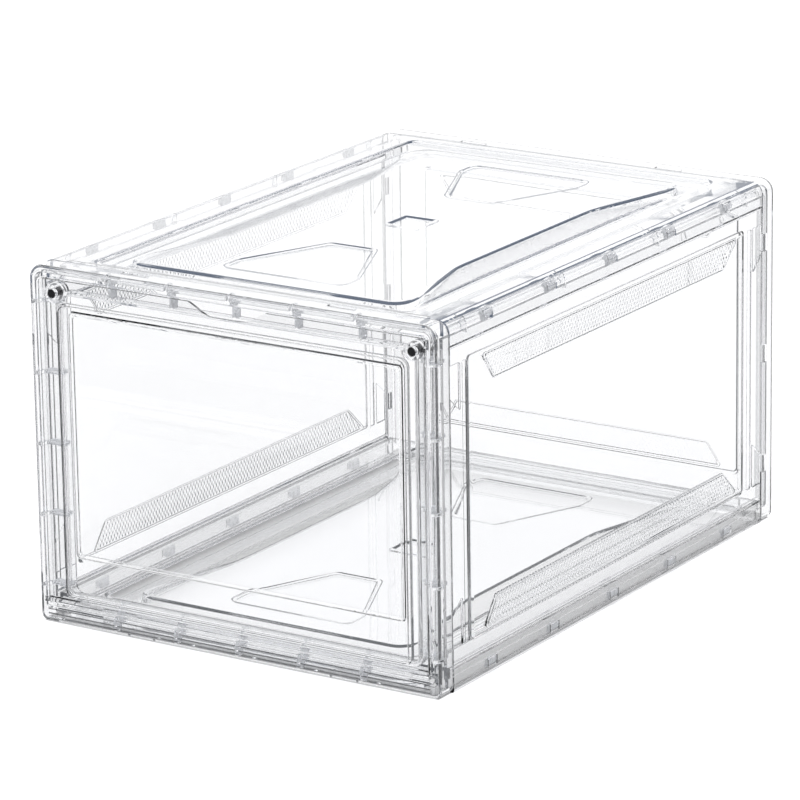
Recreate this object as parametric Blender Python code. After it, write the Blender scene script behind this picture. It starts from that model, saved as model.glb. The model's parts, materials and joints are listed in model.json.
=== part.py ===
"""Drop-front clear plastic shoe box, knock-down construction.

A front frame and a back panel are rings joined by top, base and two side panels.
A door hinged at its lower edge closes the front frame, held by four magnets.

Frame: +X to the right seen from the front, +Y to the back (the door faces -Y),
+Z up. Origin at the bottom centre of the closed box. Metres.
"""
import math

import bmesh
import bpy
from mathutils import Matrix, Vector

for _ob in list(bpy.data.objects):
    bpy.data.objects.remove(_ob, do_unlink=True)

# ---------------------------------------------------------- shared dimensions
BOX_W = 0.260            # across the door
BOX_D = 0.364            # door to back
BOX_H = 0.203            # overall height
WALL = 0.002             # moulded wall
GAP = 0.0003             # running gap between neighbouring pieces
ARC = 4                  # segments in a rounded corner

HALF_W = BOX_W / 2
HALF_D = BOX_D / 2
MID_Z = BOX_H / 2
Y_FRONT = -HALF_D        # front face of the frame and the door

# the two rings: front frame and back panel
RING_D = 0.014           # depth of a ring
CORNER_R = 0.008         # outer corners
RIM_R = 0.0012           # rounding of the outer edge
RIM_MID = 0.00035        # inset and depth of the middle of that rounding
Y_RING = HALF_D - RING_D            # where the rings end
Y_PANEL = Y_RING - GAP              # where the panels between them end

# outer skin of a ring, from its open end to its face: inset, depth, corner radius
RING_SKIN = (
    (0, RING_D, CORNER_R),
    (0, RIM_R, CORNER_R),
    (RIM_MID, RIM_MID, CORNER_R - 0.0003),
    (RIM_R, 0, CORNER_R - RIM_R),
)

# tongues that plug the panels into the rings
TONGUE_IN = 0.0023       # outer face of a tongue below the ring's outer face
TONGUE_REACH = 0.005
Y_TONGUE = Y_RING + TONGUE_REACH - GAP

# clip slots in the rings, filled by catches on the tongues
CLIP_X = 0.066
CLIP_W = 0.017
CLIP_NEAR = 0.0092       # slot depth range, from the ring's face
CLIP_FAR = 0.0122
CLIP_CUT = 0.0026        # cut inwards from the outer face
OVERCUT = 0.001          # how far most cutters stand clear of the surface

# inner rail under the long edges of the top and base panels
RAIL_IN = 0.0048
RAIL_T = 0.002
RAIL_OUTER = HALF_W - RAIL_IN
RAIL_INNER = HALF_W - RAIL_IN - RAIL_T

RIB_T = 0.0016
FIVE = (-2, -1, 0, 1, 2)  # places of five evenly pitched features
SIDES = (-1, 1)
SNAP_Y = 0.064           # pitch of the snap windows and tabs along the long sides

# trapezoid strips in the sunk windows of the side and back panels
WIN_SINK = 0.002
STRIP_INSET = 0.0014     # long edge from the window edge
STRIP_H = 0.0145
STRIP_RISE = 0.0014      # height above the floor at the long edge
STRIP_STEP = 0.0005      # and at the short edge
STRIP_ROOT = 0.0006      # how far a strip is buried in the floor
STRIP_SPREAD = 0.0003    # growth of the root at the ends and the short edge
STRIP_SPREAD_LONG = 0.0002

# magnets
MAG_R = 0.0025
MAG_L = 0.004
MAG_BEVEL = 0.0002
MAG_X = 0.115
MAG_Z = 0.188
DOOR_MAG_Y = Y_FRONT + 0.0013
FRAME_MAG_Y = Y_FRONT + 0.0071
BOSS_R = 0.0045
POCKET_R = MAG_R + 0.00025
POCKET_END_GAP = 0.0002

# hinge
BARREL_R = 0.0022
HINGE_Y = Y_FRONT + BARREL_R
HINGE_Z = 0.013
PIN_R = 0.0015
PIN_END = 0.1256
SOCKET_R = 0.0016

ROUND_SEGMENTS = 24      # magnets, bosses, magnet pockets, hinge barrel
PIN_SEGMENTS = 32        # hinge pins and sockets
SMOOTH_LIMIT = math.radians(32)     # edges sharper than this stay sharp


# ------------------------------------------------------------------ materials
CLEAR_TINTS = {
    "front_frame": (0.93, 0.95, 0.97),
    "door_panel": (0.95, 0.96, 0.98),
    "top_panel": (0.94, 0.96, 0.98),
    "base_panel": (0.93, 0.95, 0.97),
    "left_side_panel": (0.94, 0.96, 0.97),
    "right_side_panel": (0.94, 0.96, 0.97),
    "back_panel": (0.93, 0.95, 0.97),
}


def material(name, **inputs):
    """Principled material; underscores in the input names stand for spaces."""
    mat = bpy.data.materials.new(name)
    mat.use_nodes = True
    shader = mat.node_tree.nodes["Principled BSDF"]
    for key, value in inputs.items():
        shader.inputs[key.replace("_", " ")].default_value = value
    return mat


def clear_plastic(piece):
    return material(piece + "_clear", Base_Color=(*CLEAR_TINTS[piece], 1.0), Roughness=0.04,
                    Metallic=0.0, Transmission_Weight=0.95, IOR=1.49)


def ferrite(piece):
    return material(piece + "_ferrite", Base_Color=(0.018, 0.018, 0.02, 1.0), Roughness=0.38,
                    Metallic=0.6)


# -------------------------------------------------------------------- outlines
def corner_points(cx, cy, radius, start):
    """Quarter circle, counter-clockwise; the caller sets where it starts."""
    def angle(i, count):
        return start + math.pi / 2 * i / count
    return lambda count: [(cx + radius * math.cos(angle(i, count)),
                           cy + radius * math.sin(angle(i, count)))
                          for i in range(count + 1)]


def round_rect(x0, x1, y0, y1, r_low, r_high, count=ARC):
    """Rounded rectangle, counter-clockwise, starting at the upper right corner."""
    corners = (
        corner_points(x1 - r_high, y1 - r_high, r_high, 0.0),
        corner_points(x0 + r_high, y1 - r_high, r_high, math.pi / 2),
        corner_points(x0 + r_low, y0 + r_low, r_low, math.pi),
        corner_points(x1 - r_low, y0 + r_low, r_low, 1.5 * math.pi),
    )
    return [point for corner in corners for point in corner(count)]


def upright_loop(half_x, z0, z1, y, r_low, r_high):
    """Rounded rectangle facing along Y."""
    return [(x, y, z) for x, z in round_rect(-half_x, half_x, z0, z1, r_low, r_high)]


def circle(cx, cy, radius, count, phase=0.5):
    """Regular polygon; phase turns it by that share of a segment."""
    angles = [2 * math.pi * (i + phase) / count for i in range(count)]
    return [(cx + radius * math.cos(a), cy + radius * math.sin(a)) for a in angles]


# ---------------------------------------------------------------------- solids
def add_loops(bm, loops, closed=False, cap=True):
    """Skin a run of loops; closed joins the last loop to the first."""
    rows = [[bm.verts.new(point) for point in loop] for loop in loops]
    count = len(rows[0])
    pairs = list(zip(rows, rows[1:]))
    if closed:
        pairs.append((rows[-1], rows[0]))
    for a, b in pairs:
        for i in range(count):
            j = (i + 1) % count
            bm.faces.new((a[i], a[j], b[j], b[i]))
    if cap and not closed:
        bm.faces.new(rows[0])
        bm.faces.new(rows[-1])
    return rows


def add_prism_x(bm, outline, x0, x1):
    """Prism along X from (y, z) points."""
    add_loops(bm, [[(x, y, z) for y, z in outline] for x in (x0, x1)])


def add_prism_y(bm, outline, y0, y1):
    """Prism along Y from (x, z) points."""
    add_loops(bm, [[(x, y, z) for x, z in outline] for y in (y0, y1)])


def add_box(bm, x0, x1, y0, y1, z0, z1):
    """Box; x0 and x1 may come in either order, so it can be mirrored."""
    x0, x1 = sorted((x0, x1))
    base = [(x0, y0), (x1, y0), (x1, y1), (x0, y1)]
    add_loops(bm, [[(x, y, z) for x, y in base] for z in (z0, z1)])


def new_object(name, bm, mat=None):
    bmesh.ops.remove_doubles(bm, verts=bm.verts, dist=1e-7)
    bmesh.ops.recalc_face_normals(bm, faces=bm.faces)
    mesh = bpy.data.meshes.new(name)
    bm.to_mesh(mesh)
    bm.free()
    ob = bpy.data.objects.new(name, mesh)
    bpy.context.scene.collection.objects.link(ob)
    if mat is not None:
        mesh.materials.append(mat)
    return ob


def loops_object(name, loops, closed=False):
    """A clear piece skinned from loops."""
    bm = bmesh.new()
    add_loops(bm, loops, closed)
    return new_object(name, bm, clear_plastic(name))


def combine(target, tool_bm, operation):
    """Boolean the solids in tool_bm into target; tool_bm is used up."""
    tool = new_object("tool", tool_bm)
    mod = target.modifiers.new("cut", 'BOOLEAN')
    mod.operation = operation
    mod.solver = 'EXACT'
    mod.object = tool
    bpy.context.view_layer.update()
    depsgraph = bpy.context.evaluated_depsgraph_get()
    mesh = bpy.data.meshes.new_from_object(target.evaluated_get(depsgraph))
    target.modifiers.clear()
    old_mesh = target.data
    target.data = mesh
    mesh.name = target.name
    bpy.data.meshes.remove(old_mesh)
    tool_mesh = tool.data
    bpy.data.objects.remove(tool, do_unlink=True)
    bpy.data.meshes.remove(tool_mesh)


def smooth_round(ob):
    """Smooth shading with the true edges kept sharp."""
    bm = bmesh.new()
    bm.from_mesh(ob.data)
    for face in bm.faces:
        face.smooth = True
    for edge in bm.edges:
        if len(edge.link_faces) == 2:
            edge.smooth = edge.calc_face_angle(0.0) < SMOOTH_LIMIT
    bm.to_mesh(ob.data)
    bm.free()


def set_origin(ob, point):
    offset = Vector(point)
    ob.data.transform(Matrix.Translation(-offset))
    ob.location = offset


# ------------------------------------------------------------- shared features
def add_magnet_cylinders(bm, radius, y0, y1):
    """A cylinder on each of the two magnet axes."""
    for side in SIDES:
        add_prism_y(bm, circle(side * MAG_X, MAG_Z, radius, ROUND_SEGMENTS), y0, y1)


def add_hinge_cylinder(bm, radius, x0, x1, count):
    add_prism_x(bm, circle(HINGE_Y, HINGE_Z, radius, count), x0, x1)


def add_clip_slots(bm, y0, y1):
    """Two slots in the top and two in the bottom of a ring."""
    for side in SIDES:
        for z0, z1 in ((BOX_H - CLIP_CUT, BOX_H + OVERCUT), (-OVERCUT, CLIP_CUT)):
            add_box(bm, side * CLIP_X - CLIP_W / 2, side * CLIP_X + CLIP_W / 2, y0, y1, z0, z1)


def trapezoid_strips(floor, half_long, half_short, half_window, place):
    """Strips along the upper and lower window edges, long edges outermost.

    place(along, out, z) turns a point of the strip into box coordinates.
    """
    bm = bmesh.new()
    high, low, root = floor + STRIP_RISE, floor + STRIP_STEP, floor - STRIP_ROOT
    root_long, root_short = half_long + STRIP_SPREAD, half_short + STRIP_SPREAD
    for side in SIDES:
        z_long = MID_Z + side * (half_window - STRIP_INSET)
        z_short = z_long - side * STRIP_H
        z_root_long = z_long + side * STRIP_SPREAD_LONG
        z_root_short = z_short - side * STRIP_SPREAD
        face = [(-half_long, high, z_long), (half_long, high, z_long),
                (half_short, low, z_short), (-half_short, low, z_short)]
        buried = [(-root_long, root, z_root_long), (root_long, root, z_root_long),
                  (root_short, root, z_root_short), (-root_short, root, z_root_short)]
        add_loops(bm, [[place(*point) for point in loop] for loop in (face, buried)])
    return bm


# ----------------------------------------------------------------- front frame
LIP = 0.006              # width of the front lip at the sides and the top
LIP_BOTTOM = 0.010       # height of the front lip at the bottom
LIP_R_LOW = 0.0015
LIP_R_HIGH = 0.003
RECESS = 0.0061          # how far the door seat lies behind the front face
SEAT = 0.0165            # where the seat ends and the opening begins
SEAT_BOTTOM = 0.0155
SEAT_R = 0.005
SEAT_REAR = RECESS + WALL
LIP_R_GROW = 0.001       # extra corner radius on the hidden side of the lip wall
SEAT_R_GROW = 0.0015     # and of the opening wall
FRAME_RIB_Z = 0.0403     # rib pitch on the posts
FRAME_RIB_X = 0.040      # rib pitch on the rails
RIB_SETBACK = 0.0008     # rib ends short of the faces behind them
RIB_BITE = 0.0002        # ribs run this far into the walls
REAR_RIB_IN = 0.0050     # outer end of the ribs behind the seat
FRAME_BOSS_END = 0.0118  # depths from the front face
FRAME_POCKET_END = 0.0125
BOSS_BITE = 0.0002       # bosses start this far inside the seat
SOCKET_OVERCUT = 0.0005


def frame_loop(inset, bottom, depth, r_low, r_high):
    return upright_loop(HALF_W - inset, bottom, BOX_H - inset, Y_FRONT + depth, r_low, r_high)


def frame_ribs():
    """Ribs across the hollow posts and rails, in front of and behind the seat."""
    def sections(lip, seat):
        """Inset range and depth range of the two ribs at one place."""
        return (
            (WALL - RIB_BITE, lip - WALL + RIB_BITE, WALL - RIB_BITE, SEAT_REAR - RIB_SETBACK),
            (REAR_RIB_IN, seat - WALL + RIB_BITE, SEAT_REAR - RIB_BITE, RING_D - RIB_SETBACK),
        )
    bm = bmesh.new()
    half = RIB_T / 2
    for k in FIVE:
        z = MID_Z + k * FRAME_RIB_Z
        x = k * FRAME_RIB_X
        for inset0, inset1, depth0, depth1 in sections(LIP, SEAT):
            y0, y1 = Y_FRONT + depth0, Y_FRONT + depth1
            for side in SIDES:
                add_box(bm, side * (HALF_W - inset0), side * (HALF_W - inset1), y0, y1,
                        z - half, z + half)
            add_box(bm, x - half, x + half, y0, y1, BOX_H - inset1, BOX_H - inset0)
        for inset0, inset1, depth0, depth1 in sections(LIP_BOTTOM, SEAT_BOTTOM):
            add_box(bm, x - half, x + half, Y_FRONT + depth0, Y_FRONT + depth1, inset0, inset1)
    return bm


def frame_cuts():
    """Magnet pockets, hinge sockets and clip slots."""
    bm = bmesh.new()
    add_magnet_cylinders(bm, POCKET_R, FRAME_MAG_Y - POCKET_END_GAP, Y_FRONT + FRAME_POCKET_END)
    for side in SIDES:
        add_hinge_cylinder(bm, SOCKET_R, side * (HALF_W - LIP - SOCKET_OVERCUT),
                           side * (HALF_W - LIP + WALL + SOCKET_OVERCUT), PIN_SEGMENTS)
    add_clip_slots(bm, Y_FRONT + CLIP_NEAR, Y_FRONT + CLIP_FAR)
    return bm


def build_front_frame():
    # corner radii, lower then upper
    lip_r = (LIP_R_LOW, LIP_R_HIGH)
    lip_rear_r = (LIP_R_LOW + LIP_R_GROW, LIP_R_HIGH + LIP_R_GROW)
    seat_r = (SEAT_R, SEAT_R)
    seat_rear_r = (SEAT_R + SEAT_R_GROW,) * 2
    inner_r = (CORNER_R - WALL,) * 2
    # insets from the sides and top, then from the bottom
    lip_rear = (LIP - WALL, LIP_BOTTOM - WALL)
    seat_rear = (SEAT - WALL, SEAT_BOTTOM - WALL)
    loops = [frame_loop(inset, inset, depth, r, r) for inset, depth, r in RING_SKIN]
    loops += [
        frame_loop(LIP, LIP_BOTTOM, 0, *lip_r),
        frame_loop(LIP, LIP_BOTTOM, RECESS, *lip_r),
        frame_loop(SEAT, SEAT_BOTTOM, RECESS, *seat_r),
        frame_loop(SEAT, SEAT_BOTTOM, RING_D, *seat_r),
        frame_loop(*seat_rear, RING_D, *seat_rear_r),
        frame_loop(*seat_rear, SEAT_REAR, *seat_rear_r),
        frame_loop(*lip_rear, SEAT_REAR, *lip_rear_r),
        frame_loop(*lip_rear, WALL, *lip_rear_r),
        frame_loop(WALL, WALL, WALL, *inner_r),
        frame_loop(WALL, WALL, RING_D, *inner_r),
    ]
    frame = loops_object("front_frame", loops, closed=True)
    combine(frame, frame_ribs(), 'UNION')
    bosses = bmesh.new()
    add_magnet_cylinders(bosses, BOSS_R, Y_FRONT + RECESS + BOSS_BITE, Y_FRONT + FRAME_BOSS_END)
    combine(frame, bosses, 'UNION')
    combine(frame, frame_cuts(), 'DIFFERENCE')
    smooth_round(frame)


# -------------------------------------------------------- top and base panels
PAN_H = 0.0135           # height of each of the two panels
MOAT_X = 0.1015          # half sizes of the moat's outer edge
MOAT_Y = 0.1605
MOAT_DEPTH = 0.006
MOAT_FLARE = 0.0006      # inward slope of the moat's outer wall
PLATEAU_X = 0.0885       # half sizes of the plateau
PLATEAU_Y = 0.1487
PLATEAU_NOTCH_X = 0.0735  # half width between the notches in its long sides
PLATEAU_DROP = 0.001
PLATEAU_FLARE = 0.0004   # outward slope of its wall, for each of two steps
PLATEAU_FOOT = 0.0010    # height of the middle step above the moat floor
NOTCH_FLARE = 0.0005
NOTCH_STEP = 0.0013      # fall of the notch floor's inner edge
NOTCH_WALL = WALL * 0.4  # inset of the under surface at the notches
NOTCH_Y_OUT = 0.131
NOTCH_Y_IN = 0.071
# corner radii of three plateau loops and two moat loops, from the middle outwards
UPPER_RADII = (0.010, 0.0104, 0.0108, 0.0064, 0.007)
UNDER_RADII = (0.0085, 0.0088, 0.0092, 0.0084, 0.009)
RIM_RUN = 0.010          # length of rim either side of a corner that meets the corner arc

TONGUE_X = 0.1150        # half width of the tongues
TONGUE_LAP = 0.0003      # tongue root stops short of the panel end
TONGUE_ROOT = 0.001      # top of the tongue root below the top surface
TOP_TONGUE_Y = 0.1625    # where the tongues begin
BASE_TONGUE_Y = 0.1650
CATCH_CLEAR = 0.0006     # play at each end of a catch in its slot
CATCH_HALF = 0.0010
CATCH_IN = 0.0009        # catch face below the ring's outer face
CATCH_ROOT = 0.0005

SNAP_W = 0.0092
SNAP_OVERCUT = 0.002
TOP_SNAP_Z = (0.0080, 0.0022)       # below the top surface
TOP_SNAP_GAP = 0.0004               # from the rail to the cutter
BASE_SNAP_Z = (0.0032, 0.0085)
BASE_SNAP_OVERCUT = 0.0005

EDGE_R = 0.007           # rounding along the top panel's long edges
RAIL_HEAD = 0.0026       # rail range below the top surface
RAIL_FOOT = 0.0090
TOP_RIB_Y = 0.100        # pitch of the ribs between rail and skirt
TOP_RIB_Z = (0.0072, 0.0022)
TOP_RIB_BITE = 0.0003
BASE_EDGE = 0.0015       # rounding along the base panel's lower edges
BASE_EDGE_MID = 0.0004

# relief in the plateau: two shields and a square
SHIELD_Y_FAR = 0.128
SHIELD_Y_MID = 0.113
SHIELD_Y_NEAR = 0.060
SHIELD_X = 0.038
SHIELD_X_NEAR = 0.014
RELIEF_DEPTH = 0.0012
TILE = 0.0095            # half side of the plain square in the middle
TILE_FLARE = 0.0006
TILE_PAD = 0.0018        # growth of the pad under the square
PAD_ROOT = 0.0006
SHIELD_PAD = (0.0016, 0.0022)       # growth at the lower and upper end
SHIELD_HOLLOW = (-0.0008, 0.0003)


def long_side_points(side, x_end, x_mid, z, z_mid):
    """The four points of a loop between the corners of one long side."""
    points = ((x_end, NOTCH_Y_OUT, z), (x_mid, NOTCH_Y_IN, z_mid),
              (x_mid, -NOTCH_Y_IN, z_mid), (x_end, -NOTCH_Y_OUT, z))
    return [(side * px, -side * py, pz) for px, py, pz in points]


def plan_loop(x_end, y_end, radius, z, x_mid=None, z_mid=None):
    """Rounded rectangle in plan; x_mid and z_mid notch its long sides."""
    x_mid = x_end if x_mid is None else x_mid
    z_mid = z if z_mid is None else z_mid
    corners = [(x, y, z) for x, y in round_rect(-x_end, x_end, -y_end, y_end, radius, radius)]
    half = len(corners) // 2
    return (corners[:half] + long_side_points(-1, x_end, x_mid, z, z_mid)
            + corners[half:] + long_side_points(1, x_end, x_mid, z, z_mid))


def square_loop(x, y, z):
    """A sharp rectangle with the same point count and order as plan_loop."""
    half = ARC // 2
    steps = [(half - i) / half * RIM_RUN for i in range(half)]

    def corner(side_x, side_y):
        points = [(side_x * x, side_y * (y - step), z) for step in steps]
        points.append((side_x * x, side_y * y, z))
        points += [(side_x * (x - step), side_y * y, z) for step in reversed(steps)]
        return points if side_x * side_y > 0 else points[::-1]
    return (corner(1, 1) + corner(-1, 1) + long_side_points(-1, x, x, z, z)
            + corner(-1, -1) + corner(1, -1) + long_side_points(1, x, x, z, z))


def pan_skin(z, x_rim, wall, notch_wall, radii):
    """Loops of one surface, from the plateau out to the rim, set back by wall."""
    px, py = PLATEAU_X - wall, PLATEAU_Y - wall
    notch = PLATEAU_NOTCH_X - notch_wall
    mx, my = MOAT_X + wall, MOAT_Y + wall
    floor = z - MOAT_DEPTH
    flat = z - PLATEAU_DROP
    flare = PLATEAU_FLARE
    return [
        plan_loop(px, py, radii[0], flat, notch),
        plan_loop(px + flare, py + flare, radii[1], floor + PLATEAU_FOOT,
                  notch + NOTCH_FLARE, flat - NOTCH_STEP),
        plan_loop(px + 2 * flare, py + 2 * flare, radii[2], floor),
        plan_loop(mx - MOAT_FLARE, my - MOAT_FLARE, radii[3], floor),
        plan_loop(mx, my, radii[4], z),
        square_loop(x_rim, Y_PANEL, z),
    ]


def rim_edge(rim, axis, at):
    """Rim vertices on the line where the axis coordinate is at, in rising order."""
    on_line = (v for v in rim if abs(v.co[axis] - at) < 1e-6)
    return sorted(on_line, key=lambda v: v.co[1 - axis])


def build_pan(name, z_top, profile, x_top, x_under):
    """Panel with a sunk moat round a plateau and an edge profile on both long sides.

    profile: (x, z) from the top surface round to the under surface, z relative
    to z_top, without its end points at x_top and x_under.
    """
    bm = bmesh.new()
    upper = add_loops(bm, pan_skin(z_top, x_top, 0, 0, UPPER_RADII), cap=False)
    under = add_loops(bm, pan_skin(z_top - WALL, x_under, WALL, NOTCH_WALL, UNDER_RADII),
                      cap=False)
    bm.faces.new(upper[0])
    bm.faces.new(under[0])
    rim_upper, rim_under = upper[-1], under[-1]
    ends = {(side, end): [bm.verts.new((side * x, end * Y_PANEL, z_top + z)) for x, z in profile]
            for side in SIDES for end in SIDES}
    for side in SIDES:
        front, back = ends[side, -1], ends[side, 1]
        for i in range(len(profile) - 1):
            bm.faces.new((front[i], front[i + 1], back[i + 1], back[i]))
        bm.faces.new(rim_edge(rim_upper, 0, side * x_top) + [back[0], front[0]])
        bm.faces.new(rim_edge(rim_under, 0, side * x_under) + [back[-1], front[-1]])
    for end in SIDES:
        bm.faces.new(rim_edge(rim_upper, 1, end * Y_PANEL) + ends[1, end]
                     + rim_edge(rim_under, 1, end * Y_PANEL)[::-1] + ends[-1, end][::-1])
    return new_object(name, bm, clear_plastic(name))


def pan_tongues(z_top, y_start, z_upper):
    """Tongue at each end, its upper face at z_upper."""
    bm = bmesh.new()
    y_root = Y_PANEL - TONGUE_LAP
    outline = [(y_start, z_top - TONGUE_ROOT), (y_root, z_top - TONGUE_ROOT), (y_root, z_upper),
               (Y_TONGUE, z_upper), (Y_TONGUE, z_upper - WALL), (y_start, z_upper - WALL)]
    for end in SIDES:
        add_prism_x(bm, [(end * y, z) for y, z in outline], -TONGUE_X, TONGUE_X)
    return bm


def pan_catches(z0, z1):
    """Catches on the tongues, centred in the clip slots."""
    bm = bmesh.new()
    half_w = CLIP_W / 2 - CATCH_CLEAR
    for end in SIDES:
        y = end * (HALF_D - (CLIP_NEAR + CLIP_FAR) / 2)
        for side in SIDES:
            x = side * CLIP_X
            add_box(bm, x - half_w, x + half_w, y - CATCH_HALF, y + CATCH_HALF, z0, z1)
    return bm


def snap_windows(x_inner, z0, z1):
    """Windows through both skirts."""
    bm = bmesh.new()
    for side in SIDES:
        for k in FIVE:
            y = k * SNAP_Y
            add_box(bm, side * x_inner, side * (HALF_W + SNAP_OVERCUT),
                    y - SNAP_W / 2, y + SNAP_W / 2, z0, z1)
    return bm


def shield(end, grow, z):
    half = SHIELD_X + grow
    near = SHIELD_X_NEAR + grow
    y_far, y_near = SHIELD_Y_FAR + grow, SHIELD_Y_NEAR - grow
    points = [(-half, y_far), (half, y_far), (half, SHIELD_Y_MID),
              (near, y_near), (-near, y_near), (-half, SHIELD_Y_MID)]
    return [(x, end * y, z) for x, y in points]


def add_shields(bm, grows, z0, z1):
    for end in SIDES:
        add_loops(bm, [shield(end, grows[0], z0), shield(end, grows[1], z1)])


def cut_relief(panel, z_flat):
    """Two shield-shaped hollows and one plain square, with matching pads beneath."""
    pads = bmesh.new()
    z0 = z_flat - WALL - RELIEF_DEPTH
    z1 = z_flat - WALL + PAD_ROOT
    add_shields(pads, SHIELD_PAD, z0, z1)
    half = TILE + TILE_PAD
    add_box(pads, -half, half, -half, half, z0, z1)
    combine(panel, pads, 'UNION')

    hollows = bmesh.new()
    z0 = z_flat - RELIEF_DEPTH
    z1 = z_flat + OVERCUT
    add_shields(hollows, SHIELD_HOLLOW, z0, z1)
    add_loops(hollows, [[(half * a, half * b, z) for a, b in ((-1, -1), (1, -1), (1, 1), (-1, 1))]
                        for half, z in ((TILE, z0), (TILE + TILE_FLARE, z1))])
    combine(panel, hollows, 'DIFFERENCE')


def top_profile():
    """Rounded edge, skirt and inner rail."""
    centre_x = HALF_W - EDGE_R
    cos60, sin60 = math.cos(math.radians(60)), math.sin(math.radians(60))
    inner_r = EDGE_R - WALL
    return [
        (centre_x + EDGE_R * cos60, -EDGE_R + EDGE_R * sin60),
        (centre_x + EDGE_R * sin60, -EDGE_R + EDGE_R * cos60),
        (HALF_W, -EDGE_R),
        (HALF_W, -PAN_H),
        (HALF_W - WALL, -PAN_H),
        (HALF_W - WALL, -EDGE_R),
        (centre_x + inner_r * sin60, -EDGE_R + inner_r * cos60),
        (RAIL_OUTER, -RAIL_HEAD),
        (RAIL_OUTER, -RAIL_FOOT),
        (RAIL_INNER, -RAIL_FOOT),
    ]


def add_top_ribs(bm):
    """Ribs between the rails and the skirts."""
    for side in SIDES:
        for k in (-1.5, -0.5, 0.5, 1.5):
            y = k * TOP_RIB_Y
            add_box(bm, side * (RAIL_OUTER - TOP_RIB_BITE), side * (HALF_W - WALL + TOP_RIB_BITE),
                    y - RIB_T / 2, y + RIB_T / 2, BOX_H - TOP_RIB_Z[0], BOX_H - TOP_RIB_Z[1])


def build_top():
    z = BOX_H
    panel = build_pan("top_panel", z, top_profile(), HALF_W - EDGE_R, RAIL_INNER)
    tongues = pan_tongues(z, TOP_TONGUE_Y, z - TONGUE_IN)
    add_top_ribs(tongues)
    combine(panel, tongues, 'UNION')
    combine(panel, pan_catches(z - TONGUE_IN - CATCH_ROOT, z - CATCH_IN), 'UNION')
    windows = snap_windows(RAIL_OUTER + TOP_SNAP_GAP, z - TOP_SNAP_Z[0], z - TOP_SNAP_Z[1])
    combine(panel, windows, 'DIFFERENCE')
    cut_relief(panel, z - PLATEAU_DROP)
    smooth_round(panel)


def build_base():
    z = PAN_H
    profile = [
        (RAIL_OUTER, -PAN_H + WALL),
        (HALF_W - WALL, -PAN_H + WALL),
        (HALF_W - WALL, 0.0),
        (HALF_W, 0.0),
        (HALF_W, -PAN_H + BASE_EDGE),
        (HALF_W - BASE_EDGE_MID, -PAN_H + BASE_EDGE_MID),
        (HALF_W - BASE_EDGE, -PAN_H),
        (RAIL_INNER, -PAN_H),
    ]
    panel = build_pan("base_panel", z, profile, RAIL_OUTER, RAIL_INNER)
    combine(panel, pan_tongues(z, BASE_TONGUE_Y, TONGUE_IN + WALL), 'UNION')
    combine(panel, pan_catches(CATCH_IN, TONGUE_IN + CATCH_ROOT), 'UNION')
    windows = snap_windows(HALF_W - WALL - BASE_SNAP_OVERCUT, *BASE_SNAP_Z)
    combine(panel, windows, 'DIFFERENCE')
    cut_relief(panel, z - PLATEAU_DROP)
    smooth_round(panel)


# ----------------------------------------------------------------- side panels
SIDE_FACE = 0.0005       # border face below the skirt face
SIDE_HALF_Z = MID_Z - PAN_H - GAP
SIDE_R = 0.0004
SIDE_ARC = 2             # segments in a side panel corner
SIDE_TONGUE_Z = SIDE_HALF_Z + 0.0052
SIDE_TONGUE_OUTER = TONGUE_IN + 0.0001
SIDE_TONGUE_INNER = SIDE_TONGUE_OUTER + WALL
WIN_Y = 0.146            # half length of the sunk window
WIN_Z = 0.0765           # half height of the sunk window
WIN_SLOPE = 0.0005       # inward slope of the window wall
WIN_REAR_TRIM = 0.0002
STRIP_LONG = 0.136       # half lengths of the strip edges
STRIP_SHORT = 0.124

# snap tabs; heights run from the panel outwards, measured from the box's
# top or bottom face
TAB_HALF = 0.0042
TAB_ROOT = 0.001
TAB_FACE = 0.0011        # crest of a tab below the skirt face
TOP_TAB_Z = (0.0072, 0.0068, 0.0052, 0.0032, 0.0032)
BASE_TAB_Z = (0.0080, 0.0076, 0.0054, 0.0038, 0.0032)

# corner pockets, (y, distance from mid height), and the upright grooves
POCKET_OUTLINE = ((0.1655, 0.0770), (0.1575, 0.0770), (0.1575, 0.0520), (0.1655, 0.0600))
POCKET_DEPTH = 0.0011
GROOVE_Y = (0.1512, 0.1544)
GROOVE_Z = 0.0770
GROOVE_DEPTH = 0.0006


def side_tabs(side):
    """Five snap tabs on the upper tongue and five on the lower one."""
    bm = bmesh.new()
    inner, outer, crest = (side * (HALF_W - depth)
                           for depth in (SIDE_TONGUE_INNER, SIDE_TONGUE_OUTER, TAB_FACE))
    tab_x = (inner, outer, outer, crest, crest, outer, inner)
    top_root = MID_Z + SIDE_TONGUE_Z - TAB_ROOT
    base_root = MID_Z - SIDE_TONGUE_Z + TAB_ROOT
    top_z = [top_root, top_root] + [BOX_H - z for z in TOP_TAB_Z]
    base_z = [base_root, base_root, *BASE_TAB_Z]
    for k in FIVE:
        for tab_z in (top_z, base_z):
            add_prism_y(bm, list(zip(tab_x, tab_z)), k * SNAP_Y - TAB_HALF, k * SNAP_Y + TAB_HALF)
    return bm


def side_pockets(side):
    """A pocket in each corner of the border and a groove beside each window end."""
    bm = bmesh.new()
    x_out = side * (HALF_W + OVERCUT)
    near, far = GROOVE_Y
    groove = ((near, -GROOVE_Z), (far, -GROOVE_Z), (far, GROOVE_Z), (near, GROOVE_Z))
    for end in SIDES:
        for up in SIDES:
            outline = [(end * y, MID_Z + up * z) for y, z in POCKET_OUTLINE]
            add_prism_x(bm, outline, side * (HALF_W - SIDE_FACE - POCKET_DEPTH), x_out)
        add_prism_x(bm, [(end * y, MID_Z + z) for y, z in groove],
                    side * (HALF_W - SIDE_FACE - GROOVE_DEPTH), x_out)
    return bm


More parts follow.
